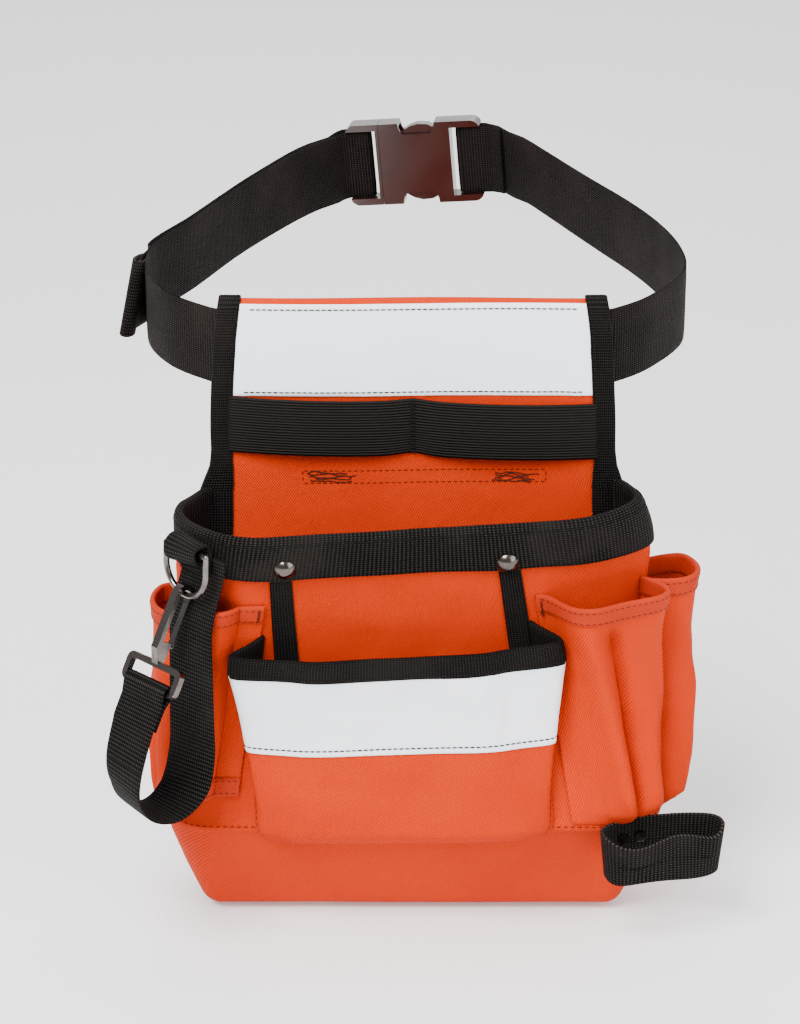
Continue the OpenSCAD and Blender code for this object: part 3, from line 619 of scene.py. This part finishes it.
def make_tunnel():
    """The top fold and the tunnel's rear sheet: one sheet from the panel's face over and down."""
    path = [(-8.62, 19), (-8.66, 20.5), (-8.68, 22)]
    path += [(FOLD_Y - 4.4 * math.cos(a), 22.6 + 4.35 * math.sin(a))
             for a in np.linspace(0.15, math.pi - 0.15, 13)]
    path += [(REAR_Y, z) for z in (20.8, 12, 0, -20, -40, -60)] + [(-2.2, -66), (-4.9, -71), (-4.9, -76)]
    path = np.array(path)
    wide = np.array([96.2] * 3 + [96.4] * 13 + [79, 76] + [75.5] * 7)
    d = np.gradient(path, axis=0)
    nrm = np.stack([-d[:, 1], d[:, 0]], axis=1)
    nrm /= np.linalg.norm(nrm, axis=1)[:, None]
    x = np.linspace(-1, 1, 61)[None, :] * wide[:, None]
    wave = 0.35 * np.sin(x / 23.0 + 1.0) * np.exp(-((path[:, 1][:, None] - 26) / 5.0) ** 2)
    grids = []
    for inset in (0.0, CLOTH_T):
        q = path - nrm * inset
        grids.append(np.stack([x, q[:, 0][:, None] + 0 * x, q[:, 1][:, None] + wave], axis=-1))
    shell("belt_tunnel_cloth", grids[0], grids[1], ORANGE, "belt_tunnel")
    rows = [[(x, REAR_Y, z) for x in np.linspace(-73, 73, 60)] for z in (-58, -55)]
    rows += [[(x, REAR_Y, z) for z in np.linspace(10, -58, 30)] for x in (-73, 73)]
    stitches("tunnel_stitches", rows, DARK_THREAD, r=0.3)


def make_binding(side, node):
    """Webbing folded over the panel's side edge: outer and inner are its faces, (in from the edge, y)."""
    h = np.concatenate([np.linspace(-104, 21, 54), np.linspace(22.7, 35.6, 20)])
    level = over_fold(-9.0, h)[1]
    e = panel_edge(level) + 0.35 * ripple(h, 0 * h, 17 + side, 40)
    w = 11.2
    outer = [(-w, -9.95), (-w * 0.66, -10.05), (-w * 0.33, -10.1), (-0.9, -10.0), (-0.25, -9.4), (0, -8.0),
             (0, -6.6), (-0.3, -5.2), (-1.2, -4.8), (-w * 0.5, -4.7), (-w, -4.8)]
    inner = [(-w, -8.75), (-w * 0.66, -8.8), (-w * 0.33, -8.8), (-1.5, -8.8), (-1.35, -8.4), (-1.3, -7.8),
             (-1.3, -6.8), (-1.35, -6.3), (-1.6, -6.1), (-w * 0.5, -6.1), (-w, -6.1)]
    sway = (panel_sway(side * 100, np.minimum(h, 21.0)) + 0.5) * 0.8
    grids = []
    for path in (outer, inner):
        p = np.array(path)
        y, z = over_fold(p[:, 1][:, None] + sway[None, :], h[None, :] + 0 * p[:, 1][:, None])
        grow = 1 + 0.55 * smooth((-58 - h) / 22)
        grids.append(np.stack([side * (e[None, :] + p[:, 0][:, None] * grow[None, :]), y, z], axis=-1))
    shell(node + "_webbing", grids[0], grids[1], BINDING, node)
    y, z = over_fold(-10.05 + sway, h)
    line = np.stack([side * (e - w + 1.5), y, z], axis=1)[:-4]
    stitches(node + "_stitches", [line], BLACK_THREAD, r=0.28)


def make_upper_strip():
    h = np.concatenate([np.linspace(25.0, 22.0, 6), np.linspace(20.5, -24.2, 24)])
    f = np.linspace(-1, 1, 90)
    half = panel_edge(np.minimum(h, 24)) - 10.3
    x = f[None, :] * half[:, None]
    hh = h[:, None] + 0 * x
    crease = 0.5 * np.exp(-((x - 78 + (hh + 5) * 0.3) / 2.2) ** 2) * clamp((12 - hh) / 16)
    crease += 0.35 * np.exp(-((x + 86 - (hh + 10) * 0.1) / 1.8) ** 2) * clamp((18 - hh) / 6)
    low = clamp((18 - hh) / 12)
    face = -9.45 + (panel_sway(x, hh) * 0.9 + 0.45) * low + 0.12 * ripple(x, hh, 21, 26) * low - crease
    grids = []
    for back in (0.0, 0.55):
        y, z = over_fold(face + back, hh + 0.4 * np.sin(x / 31.0))
        grids.append(np.stack([x, y, z], axis=-1))
    shell("upper_strip_tape", grids[0], grids[1], TAPE, "upper_reflective_strip")
    lines = [grids[0][k, 3:-3] + np.array([0, -0.2, 0]) for k in (4, -2)]
    stitches("upper_strip_stitches", lines, GREY_THREAD, length=2.8, pitch=3.0, r=0.36)


ELASTIC_Z, ELASTIC_H = -41.4, 14.5  # its middle level and half its height


def make_elastic():
    h = np.linspace(1, -1, 22)[:, None]
    f = np.linspace(-1, 1, 101)[None, :]
    x = f * (panel_edge(-42.4) - 8.4) + 0 * h
    bow = 5.4 * np.sin(np.pi * np.abs(f)) ** 0.8 * (1 - 0.12 * h ** 2)
    dip = 1.7 * (1 - np.exp(-(f / 0.1) ** 2)) - 1.0
    z = ELASTIC_Z - 0.022 * x + 1.02 * ELASTIC_H * h - dip * (0.9 * clamp(-h) + 0.5 * clamp(h))
    g = np.stack([x, -9.5 - bow, z], axis=-1)
    shell("elastic_ribs", g, g + np.array([0, 1.2, 0]), ELASTIC, "elastic_band")
    tacks = [[(k, -10.4, -27.0 - 29 * t) for t in np.linspace(0, 1, 20)] for k in (-0.7, 0, 0.7)]
    stitches("elastic_bartack", tacks, BLACK_THREAD, length=2.2, pitch=2.4, r=0.35)


def make_panel_box_stitch():
    """The stitched box under the elastic, with a tangle of bartack thread at each end."""
    def at(x, z):
        return (x, PANEL_Y + 0.35 + float(panel_sway(np.array(x), np.array(z))), z)

    rows = []
    for z in (-65.6, -72.4):
        rows.append([at(x, z + 0.6 * math.sin(x / 40)) for x in np.linspace(-57, 69, 60)])
    for x in (-57, 69):
        rows.append([at(x, z) for z in np.linspace(-65.6, -72.4, 8)])
    stitches("panel_box_stitches", rows, DARK_THREAD, length=2.2, pitch=3.2, r=0.24)
    rng = np.random.default_rng(8)
    rows = []
    for x0, x1 in ((-56, -28), (40, 66)):
        for k in range(5):
            z0 = -67.0 - 1.15 * k
            xa = x0 + rng.uniform(0, 5)
            xb = x1 - rng.uniform(0, 6)
            n = int((xb - xa) / 2.1)
            rows.append([at(xa + (xb - xa) * i / n, z0 + rng.uniform(-1.2, 1.2)) for i in range(n + 1)])
    stitches("panel_bartacks", rows, DARK_THREAD, length=2.7, pitch=2.1, r=0.34)


# ---------------------------------------------------------------- body, base and mouth band


def make_body():
    s = np.linspace(0, 1, 241)
    z = np.linspace(MOUTH_Z - 0.5, SEAM_Z - 1.5, 72)
    zz, ss = z[:, None], s[None, :]
    lip = 1.0 * clamp((-236.5 - zz) / 2.5)
    shell("body_cloth", on_body(ss, zz, lip), on_body(ss, zz, lip - WALL), ORANGE, "front_body")
    seam = on_body(np.linspace(0.02, 0.98, 300), -239.6, 1.25)
    stitches("base_seam_stitches", [seam], DARK_THREAD, length=2.6, pitch=3.6, r=0.22)


def make_base():
    s = np.linspace(0, 1, 201)[None, :]
    r = 7.0
    a = np.linspace(0.15, np.pi / 2, 9)
    z = np.concatenate([np.linspace(SEAM_Z + 3, BOTTOM_Z + r, 20), BOTTOM_Z + r - r * np.sin(a)])[:, None]
    inset = np.concatenate([np.zeros(20), r * (1 - np.cos(a))])[:, None]
    grids = []
    for t in (0.0, WALL):
        wall = on_body(s, np.maximum(z, BOTTOM_Z + t), -inset - t)
        floor = np.repeat(wall[-1:], 12, axis=0)
        floor[..., 1] = mix(floor[..., 1], BODY_Y - 0.4, np.arange(1, 13)[:, None] / 12)
        floor[..., 2] = BOTTOM_Z + t
        grids.append(np.concatenate([wall, floor]))
    shell("base_cloth", grids[0], grids[1], ORANGE, "base_panel")


BAND_H = 23.6


def band_gap(s):
    """How far the band stands off the cloth, which is more over the rivets' straps."""
    g = 0.7
    for rs, _ in RIVETS:
        g = g + np.exp(-((s - rs) * GIRTH / 14.0) ** 2)
    return g


def make_mouth_band():
    s = np.linspace(0, 1, 241)[None, :]
    grids = []
    for p in rim_path(MOUTH_Z, BAND_H, 0.0, -WALL, 1.4, legs=7):
        z, off = p[:, 0][:, None], p[:, 1][:, None]
        extra = np.where(off > 0.1, band_gap(s), np.where(off < -1.7, -0.3, 0.0))
        wave = 0.4 * ripple(s * GIRTH, 0 * z, 31, 60) * clamp((MOUTH_Z - z) / 20)
        grids.append(on_body(s, z + wave, off + extra * clamp((MOUTH_Z - z) / 6 + 0.3)))
    shell("mouth_band_webbing", grids[0], grids[1], WEBBING, "mouth_band")
    s = np.linspace(0.01, 0.99, 400)
    rows = [on_body(s, MOUTH_Z - h, band_gap(s) + 1.35) for h in (2.6, BAND_H - 2)]
    stitches("mouth_band_stitches", rows, BLACK_THREAD, length=2.8, pitch=3.6, r=0.26)


def make_support_strap(k, node, s_low):
    z = np.linspace(-83, -158, 44)[:, None]
    f = np.linspace(-1, 1, 7)[None, :]
    s = mix(RIVETS[k][0], s_low, clamp((-99 - z) / 48)) + f * 0.0155
    top = on_body(s, z, 1.55 - 0.25 * np.abs(f) ** 4)
    low = on_body(s, z, 0.35)
    shell(node + "_webbing", top, low, BINDING, node)


# ---------------------------------------------------------------- pockets


class Pocket:
    """A pocket's sheet: u runs along it and z down it, as in the CAD form.

    s_top and s_low are the shares of the bag's girth that it spans at its top and bottom. bulge lists
    how far it stands out from top to bottom, power squares its plan and act is the part of u that
    bulges. round_low rounds the lower corners, and flare widens the mouth past the sewn edges.
    """

    def __init__(self, top, bottom, s_top, s_low, bulge, power, stand, act, folds=None, lean=0.0,
                 round_low=0.0, flare=0.0, skew=1.0):
        self.top, self.bottom = top, bottom
        self.s_top, self.s_low, self.bulge = s_top, s_low, bulge
        self.power, self.stand, self.lean, self.act = power, stand, lean, act
        self.folds, self.round_low, self.flare = folds, round_low, flare
        self.skew = skew

    def at(self, u, z, off=0.0):
        u, z, off = floats(u, z, off)
        t = clamp((self.top - z) / (self.top - self.bottom))
        k = clamp((t - 0.86) / 0.14)
        pull = self.round_low * (1 - np.sqrt(np.maximum(0, 1 - k * k)))
        a = mix(self.s_top[0], self.s_low[0], t) + pull
        b = mix(self.s_top[1], self.s_low[1], t) - pull
        s = mix(a, b, u)
        end = np.exp(-((u - 0.045) / 0.034) ** 2) - np.exp(-((0.955 - u) / 0.034) ** 2)
        s = s - self.flare * end * clamp(1.1 * (1 - t)) ** 1.2
        z = z + 90 * self.flare * (1 - smooth(np.minimum(u, 1 - u) / 0.05)) * (1 - t) ** 4
        v = clamp((u - self.act[0]) / (self.act[1] - self.act[0])) ** self.skew
        out = np.interp(t, [q[0] for q in self.bulge], [q[1] for q in self.bulge])
        out = out * (1 - np.abs(2 * v - 1) ** self.power)
        if self.folds:
            out = out + self.folds(u, t) * (1 - np.abs(2 * u - 1) ** 8)
        p = body_xy(s, z) + body_out(s, z) * (out + self.stand + sag(s, z))[..., None]
        d = np.gradient(p, axis=1) if p.ndim == 3 else np.gradient(p, axis=0)
        nrm = np.stack([d[..., 1], -d[..., 0]], axis=-1)
        nrm /= np.linalg.norm(nrm, axis=-1)[..., None] + 1e-9
        p = p + nrm * off[..., None]
        return np.stack([p[..., 0], p[..., 1], level_shift(p[..., 0], z, self.lean)], axis=-1)

    def cloth(self, name, node, n=90, m=50):
        u = np.linspace(0, 1, n)[None, :]
        t = np.linspace(0, 1, m) ** 0.9
        z = mix(self.top, self.bottom, t)[:, None]
        return shell(name, self.at(u, z, 1.2), self.at(u, z, 0.0), ORANGE, node)

    def rim(self, name, node, mat, z_top, h, t, n=90):
        u = np.linspace(0, 1, n)
        a, b = rim_path(z_top, h, 1.25, -0.05, t)
        return shell(name, along_rim(self.at, u, a), along_rim(self.at, u, b), mat, node)

    def column(self, u, z_top, z_low, off):
        """Points down the sheet at one u; the second column only gives the slope."""
        return self.at(np.array([[u, u + 0.008]]), np.linspace(z_top, z_low, 30)[:, None], off)[:, 0]

    def row(self, z, off):
        return self.at(np.linspace(0.02, 0.98, 160)[None, :], np.array([[z]]), off)[0]


def ridge(u, t, u0, slope, width, amp, t0, t1):
    """A fold that starts at u0 and drifts by slope, between the heights t0 and t1."""
    shape = np.exp(-((u - u0 - slope * t) / width) ** 2)
    return amp * shape * smooth((t - t0) / 0.15) * smooth((t1 - t) / 0.15)


def front_folds(u, t):
    f = ridge(u, t, 0.93, -0.1, 0.03, -1.5, 0.05, 0.5) + ridge(u, t, 0.1, 0.12, 0.04, 1.2, 0.5, 0.95)
    return f + 0.8 * ripple(u * 170, t * 110, 41, 60) * smooth(t / 0.15)


def right_front_folds(u, t):
    f = ridge(u, t, 0.30, 0.20, 0.075, 5.6, 0.02, 1.0) + ridge(u, t, 0.48, 0.13, 0.06, -7.6, 0.05, 1.02)
    f += ridge(u, t, 0.74, 0.06, 0.06, 2.6, 0.4, 1.02)
    f += 1.8 * np.sin(2 * np.pi * (u - 0.18) / 0.55) * np.exp(-(t / 0.12) ** 2)
    return f + 0.7 * ripple(u * 60, t * 120, 43, 38) * smooth(t / 0.12)


def right_rear_folds(u, t):
    f = ridge(u, t, 0.22, 0.1, 0.08, 2.6, 0.35, 1.0) + ridge(u, t, 0.42, -0.05, 0.08, -2.6, 0.3, 0.95)
    return f + 0.35 * ripple(u * 50, t * 120, 47, 60) * smooth(t / 0.12)


def side_folds(u, t):
    f = ridge(u, t, 0.4, 0.15, 0.06, 1.8, 0.3, 1.0) + ridge(u, t, 0.7, -0.1, 0.05, -1.4, 0.3, 0.95)
    return f + 0.7 * ripple(u * 50, t * 120, 53, 38) * smooth(t / 0.12)


FRONT = Pocket(-138, -250, (0.305, 0.650), (0.328, 0.657),
               [(0, 23.8), (0.3, 19.8), (0.6, 15), (0.9, 9), (0.97, 5), (1, 0.6)], 9, 0.5, (0, 1),
               front_folds, lean=0.012, round_low=0.030, flare=0.060)
RIGHT_FRONT = Pocket(-116, -238, (0.674, 0.843), (0.68, 0.84),
                     [(0, 21.5), (0.25, 17), (0.6, 12), (0.94, 8), (1, 0.4)], 6, 0.6, (0.03, 1),
                     right_front_folds, skew=1.7)
RIGHT_REAR = Pocket(-118, -238, (0.852, 0.945), (0.85, 0.945),
                    [(0, 26), (0.5, 21), (0.8, 17), (0.95, 12), (1, 0.4)], 4, 0.8, (0, 1), right_rear_folds)
LEFT_REAR = Pocket(-126, -238, (0.05, 0.188), (0.05, 0.188),
                   [(0, 11.5), (0.3, 11), (0.7, 8), (0.94, 5), (1, 0.4)], 3, 0.8, (0, 1), side_folds)
TUNNEL = Pocket(-115, -222, (0.199, 0.289), (0.199, 0.298),
                [(0, 9.8), (0.5, 9), (1, 9)], 3, 0.8, (0, 0.6))
HEM_H = 9
HEM_STITCHES = {"length": 2.2, "pitch": 3.2, "r": 0.2}
BINDING_H = 11.6


def make_front_pocket():
    FRONT.cloth("front_pocket_cloth", "front_pocket", 170, 70)
    FRONT.rim("front_pocket_binding", "pocket_binding", BINDING, FRONT.top + 0.5, BINDING_H, 1.1, 170)
    u = np.linspace(0.004, 0.996, 150)[None, :]
    z = np.linspace(-148.6, -193.2, 30)[:, None]
    crinkle = 0.35 * np.exp(-(((u - 0.83) * 170 - (z + 152) * 0.5) / 2.5) ** 2) * clamp((z + 166) / 12)
    tape = FRONT.at(u, z, 1.95 + crinkle)
    shell("front_pocket_tape", tape, FRONT.at(u, z, 1.25), TAPE, "pocket_reflective_strip")
    stitches("front_pocket_tape_stitches", [FRONT.row(-190.0, 2.1)], GREY_THREAD, length=2.8, pitch=3.0, r=0.38)
    stitches("front_pocket_binding_stitches", [FRONT.row(-147.4, 2.4)], BLACK_THREAD, r=0.26)
    sides = [FRONT.column(k, -196, -244, 1.3) for k in (0.012, 0.98)]
    stitches("front_pocket_side_stitches", sides, DARK_THREAD, r=0.2)


def make_side_pockets():
    for pocket, name in ((RIGHT_FRONT, "right_front"), (RIGHT_REAR, "right_rear"), (LEFT_REAR, "left_rear")):
        pocket.cloth(name + "_pocket_cloth", name + "_pocket")
        pocket.rim(name + "_pocket_hem", name + "_hem", HEM, pocket.top + 0.5, HEM_H, 0.8)
        rows = [pocket.row(pocket.top + 0.5 - d, 2.15) for d in (1.4, 7.8)]
        stitches(name + "_hem_stitches", rows, DARK_THREAD, **HEM_STITCHES)
    TUNNEL.cloth("tool_tunnel_cloth", "tool_tunnel", 50, 40)
    TUNNEL.rim("tool_tunnel_upper_hem", "tunnel_upper_hem", HEM, TUNNEL.top + 0.5, HEM_H, 0.8, 50)
    u = np.linspace(0, 1, 50)[None, :]
    z = np.linspace(-212.5, -222.6, 8)[:, None]
    shell("tool_tunnel_lower_hem", TUNNEL.at(u, z, 2.1), TUNNEL.at(u, z, 1.25), HEM, "tunnel_lower_hem")
    rows = [TUNNEL.row(z0, 2.15) for z0 in (-116, -122.3, -214, -220.8)]
    stitches("tool_tunnel_hem_stitches", rows, DARK_THREAD, **HEM_STITCHES)
    tacks = []
    for pocket, u, z_top, z_low in ((RIGHT_FRONT, 0.035, -118, -127), (RIGHT_FRONT, 0.05, -118, -127),
                                    (TUNNEL, 0.93, -116, -123)):
        tacks += [pocket.column(u + d, z_top, z_low, 2.3) for d in (-0.006, 0.006)]
    stitches("pocket_bartacks", tacks, DARK_THREAD, length=1.8, pitch=1.7, r=0.32)


# ---------------------------------------------------------------- hammer loop

LOOP_AT = np.array([129.6, -80.1, -249.0])
LOOP_TURN = math.radians(14)
LOOP_HALF = (31, 11.5, 12.8)


def make_hammer_loop():
    """A flattened ring of webbing whose free front half waves and droops."""
    a = np.linspace(0, 2 * np.pi, 120, endpoint=False)[None, :]
    c, s = np.cos(a), np.sin(a)
    z = np.linspace(LOOP_HALF[2], -LOOP_HALF[2], 12)[:, None]
    front = smooth(-s / 0.9)
    grids = []
    for grow in (0.9, -0.9):
        x = (LOOP_HALF[0] + grow) * np.sign(c) * np.abs(c) ** 0.75
        y = (LOOP_HALF[1] + grow) * np.sign(s) * np.abs(s) ** 0.7
        y = y + front * (1.6 * np.sin(x / 8.0 + 0.8) * (z / 14) + 1.2 * np.sin(x / 11.0))
        zz = z + front * (-3.4 + 1.5 * np.sin(x / 7.5 + 0.4)) * np.where(z > 0, 1, 0.15)
        zz = zz + 1.2 * np.sin(x / 10.0 + 2.0) * (0.4 + front)
        x = x + 1.5 * (z / 14) * np.sign(c) * np.abs(c) ** 3
        px = LOOP_AT[0] + x * math.cos(LOOP_TURN) - y * math.sin(LOOP_TURN)
        py = LOOP_AT[1] + x * math.sin(LOOP_TURN) + y * math.cos(LOOP_TURN)
        grids.append(np.stack([px, py, LOOP_AT[2] + zz], axis=-1))
    shell("hammer_loop_webbing", grids[0], grids[1], WEBBING, "hammer_loop", closed=True)


# ---------------------------------------------------------------- ring tab and hanging strap

RING_AT = np.array([-114.0, -72.5, -83.0])
C45 = math.sqrt(0.5)
BAR = np.array([C45, -C45, 0.0])  # along the ring's straight bar
AWAY = np.array([-C45, -C45, 0.0])  # level, away from the bag
RING_LOW = 9.5 + 15.0  # from the ring's bar down to the middle of its bow: the legs and the radius
HOOK_LEAN, RING_LEAN = math.radians(30), math.radians(2)
EYE_LOW = -38 + 3.4 - 15  # the middle of the eye's lower bar, from the hook's pivot on the ring
STRAP_W, STRAP_T = 30.0, 1.5


def in_strap(p):
    """A point given along the bar, away from the bag and up."""
    return RING_AT + BAR * p[0] + AWAY * p[1] + np.array([0, 0, p[2]])


def hook_to_strap(y, z):
    """A point of the hook's own frame, given in the strap's."""
    return [-2.0, RING_LOW * math.sin(RING_LEAN) - y * math.cos(HOOK_LEAN) - z * math.sin(HOOK_LEAN),
            -RING_LOW * math.cos(RING_LEAN) - y * math.sin(HOOK_LEAN) + z * math.cos(HOOK_LEAN)]


def make_ring_tab():
    """Webbing that goes up behind the ring's bar, over it and back under it to the bag."""
    path = [(5.9, -13), (5.9, -8), (5.9, -3), (5.8, 1), (4.9, 3.6), (3.0, 5.0), (1.0, 5.1), (-1.0, 4.6),
            (-2.7, 3.2), (-3.7, 1.2), (-3.9, -1.2), (-3.3, -3.6), (-1.9, -5.4), (0.2, -6.0), (2.2, -5.4),
            (3.6, -4.0)]
    centres, halves = [], []
    for i, (y, z, _) in enumerate(spline([(y, z, 0) for y, z in path], 3)):
        centres.append(in_strap((0.8 * math.sin(i / 6.0), -y, z)))
        halves.append(BAR * (11.0 + 0.4 * math.sin(i / 4.0)) + np.array([0, 0, 1.2 * math.sin(i / 5.0 + 1.0)]))
    a, b = sweep(centres, halves, 0.9, 9)
    shell("ring_tab_webbing", a, b, WEBBING, "ring_tab")


# the strap's route from the mouth band down, round and up to the hook: (along the bar, away, up)
HANG = [[5, -7.6, -3], [3.5, -7.5, -14], [1, -5.2, -28], [-0.2, -2, -44], [2, 0.6, -62], [4.3, 3, -90],
        [5.8, 5, -110], [7, 12, -127], [7, 27, -134.5], [7, 43, -128.5], [7, 51, -115], [5, 49.5, -101]]


def make_hanging_strap():
    """One strap in two pieces: the loop that hangs from the band, and the end sewn round the eye."""
    steps = 10
    wrap = 1.7 * math.sqrt(2) + 0.3 + STRAP_T / 2
    fold = STRAP_T / 2 + 0.2
    run = list(spline(HANG + [hook_to_strap(-fold, EYE_LOW - 20)], steps))
    cut = steps * (len(HANG) - 1)
    end = [hook_to_strap(-fold, EYE_LOW - d) for d in (16, 8)]
    end += [hook_to_strap(-wrap * math.cos(math.radians(a)), EYE_LOW + wrap * math.sin(math.radians(a)))
            for a in range(0, 181, 12)]
    end += [hook_to_strap(fold, EYE_LOW - d) for d in (8, 14, 20)]
    first = np.array([in_strap(p) for p in run[:cut + 1]])
    second = np.array([in_strap(p) for p in run[cut:] + end])
    pieces = []
    twist = np.radians(np.interp(np.arange(len(run) + len(end)), [0, 25, 48, 68, 86, 100, 112, 122],
                                 [0, 0, 5, 9, -8, -12, -4, 0]))
    for name, pts, node, at in (("hanging_strap_loop", first, "hanging_strap", 0),
                                ("hanging_strap_end", second, None, cut)):
        a = twist[at:at + len(pts)][:, None]
        half = STRAP_W / 2 * (BAR * np.cos(a) - AWAY * np.sin(a))
        a, b = sweep(pts, half, STRAP_T / 2, 11)
        pieces.append(shell(name, a, b, WEBBING, node, body=None, slot="hanging_strap"))
    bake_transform(pieces[0])
    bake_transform(pieces[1])
    rows = []
    for d in (-10, -18.5):
        p = in_strap(hook_to_strap(fold + 0.85, EYE_LOW + d))
        rows.append([p + BAR * t for t in np.linspace(-13.5, 13.5, 12)])
    stitches("hanging_strap_stitches", rows, BLACK_THREAD, length=2.2, pitch=2.7, r=0.33, body="hook")


# ---------------------------------------------------------------- belt

BUCKLE_AT = np.array([3.0, 313.0, 5.0])
BELT_W, BELT_T = 40.0, 1.8


BUCKLE_ROLL, BUCKLE_YAW = math.radians(-5), math.radians(-8)
LOOP_BAR = 29.5  # from the buckle's middle to each of its bars
TAIL_FROM = 16  # the belt's last points, along which the free end lies back


def turned(p):
    """A direction of the buckle's own frame."""
    x, y, z = p
    c, s = math.cos(BUCKLE_ROLL), math.sin(BUCKLE_ROLL)
    x, z = x * c + z * s, z * c - x * s
    c, s = math.cos(BUCKLE_YAW), math.sin(BUCKLE_YAW)
    return np.array([x * c - y * s, x * s + y * c, z])


def from_buckle(p):
    return BUCKLE_AT + turned(p)


UP = turned((0, 0, 1))


def make_belt():
    """One ribbon: the flap at the right bar, once round the waist, the left bar and the free end."""
    lay, wrap = 2.5 + 0.3 + BELT_T / 2, 2 + 0.3 + BELT_T / 2
    steps = 8
    ring = [(60, 293), (87, 253), (112, 206), (133, 152), (144, 102), (143, 60), (124, 22), (106, 2)]
    ring += [(x, -3.1) for x in (94, 60, 0, -60, -94)]
    ring += [(-108, 4.5), (-127, 26), (-140, 60), (-140, 105), (-121, 152), (-97, 214), (-74, 261), (-57, 289)]
    run = spline([(x, y, 0) for x, y in ring], steps)

    def local(points):
        return [(from_buckle((x, y, 0)), UP * BELT_W / 2, BELT_T / 2) for x, y in points]

    def ringed(p, rise):
        k = float(clamp((p[1] - 200) / 80))
        up = mix(np.array([0, 0, 1.0]), UP, k)
        return (np.array([p[0], p[1], k * k * rise]), up * BELT_W / 2, BELT_T / 2)

    def bar(side):
        return [(side * (LOOP_BAR - wrap * math.cos(math.radians(a))), wrap * math.sin(math.radians(a)))
                for a in range(-90, 91, 15)]

    tail = []
    for i in range(len(run) - 1, TAIL_FROM * steps - 1, -1):
        d = unit(run[i] - run[i - 1])
        tail.append(run[i] + np.array([-d[1], d[0], 0]) * 2.7)
    tail += [np.array(p) for p in ((-142.5, 96, 0), (-145.5, 88, 0), (-148, 81, 0), (-149.5, 75, 0))]
    stations = local([(53.6, -10), (50, -6.6), (46, -4.2), (41, -lay)] + bar(1)
                     + [(41, lay), (44, 2.8), (47.6, -0.6), (52.4, -5)])
    stations += [ringed(p, 8.2 if p[0] > 0 else 1.8) for p in run]
    stations += local([(-46.8, -13), (-45.4, -9), (-43.6, -6), (-41, -lay)] + bar(-1)
                      + [(-41, lay), (-43.8, 3), (-46.4, -0.4), (-48.4, -6), (-50.2, -13)])
    for i, p in enumerate(tail):
        c, up, t = ringed(p, 1.8)
        out = float(clamp((i - len(tail) + 5) / 4))
        up = up + np.array([0.2, 0.12, 0]) * out * BELT_W / 2
        stations.append((c, up, t))
    c, w, t = (np.array([q[k] for q in stations]) for k in range(3))
    s = np.concatenate([[0], np.linalg.norm(np.diff(c, axis=0), axis=1).cumsum()])
    w = w * (1 + 0.006 * np.sin(s / 37.0))[:, None]
    a, b = sweep(c, w, t, 13)
    shell("belt_strap", a, b, BELTING, "belt_webbing", body="belt")
    make_belt_end(c[-1], w[-1], unit(c[-1] - c[-3]))
    rows = []
    for x, y in ((51.6, -8.2), (49.0, -5.8)):
        p = from_buckle((x - 0.75, y - 0.75, 0))
        rows.append([p + UP * k for k in np.linspace(-18.5, 18.5, 16)])
    stitches("belt_flap_stitches", rows, BLACK_THREAD, r=0.38, body="belt")


def make_belt_end(end_c, end_w, d):
    """The folded and sewn end of the belt, which lies along d."""
    n = unit(np.cross(d, end_w))
    prof = [(-10.5, 1.1), (-8.5, 2.0), (-6, 3.4), (-3.2, 4.1), (-0.2, 4.0), (2.4, 3.0), (4.0, 1.2), (4.0, -1.0),
            (2.4, -2.8), (-0.2, -3.8), (-3.2, -3.8), (-6, -3.0), (-8.5, -1.7), (-10.5, -1.1)]
    f = np.linspace(-1, 1, 13)
    outer = np.array([[end_c + d * q[0] + n * q[1] + end_w * k * 1.01 for k in f] for q in prof])
    inner = np.array([[end_c + d * (q[0] - 1.0) + n * q[1] * 0.45 + end_w * k * 1.0 for k in f] for q in prof])
    shell("belt_end_hem", outer, inner, BELTING, None, body="belt", slot="belt_webbing")
    lines = [[end_c + d * -8.3 + n * off + end_w * k for k in np.linspace(-0.93, 0.93, 16)]
             for off in (2.1, -1.8)]
    stitches("belt_end_stitches", lines, BLACK_THREAD, r=0.4, body="belt")


# ---------------------------------------------------------------- carried-over hardware


def dress_hardware():
    """The CAD's own hardware: its material, and the radius in millimetres that breaks its edges."""
    looks = {
        "d_ring": (METAL, 0), "snap_hook": (METAL, 0.45), "hook_gate": (METAL, 0.2),
        "band_rivet_caps": (CAP_METAL, 0), "band_rivet_posts": (METAL, 0),
        "band_rivet_washers": (CAP_METAL, 0.25), "hammer_loop_rivets": (CAP_METAL, 0.3),
        "buckle_socket": (PLASTIC, 0.9), "buckle_plug": (PLASTIC, 0.9),
        "prong_upper": (PLASTIC, 0.5), "prong_lower": (PLASTIC, 0.5),
    }
    for node, (mat, radius) in looks.items():
        ob = NODES[node]
        for slot in ob.material_slots:
            slot.link = "OBJECT"
            slot.material = mat
        if radius:
            bevel = ob.modifiers.new("edges", "BEVEL")
            bevel.width = radius * 0.001
            bevel.segments = 3
            bevel.limit_method = "ANGLE"
            bevel.angle_limit = math.radians(38)
            bevel.use_clamp_overlap = True


make_camera()
make_stage()
make_panel()
make_tunnel()
make_binding(-1, "panel_binding_left")
make_binding(1, "panel_binding_right")
make_upper_strip()
make_elastic()
make_panel_box_stitch()
make_body()
make_base()
make_mouth_band()
make_support_strap(0, "support_strap_left", 0.332)
make_support_strap(1, "support_strap_right", 0.645)
make_front_pocket()
make_side_pockets()
make_hammer_loop()
make_ring_tab()
make_hanging_strap()
make_belt()
dress_hardware()

bpy.context.view_layer.update()
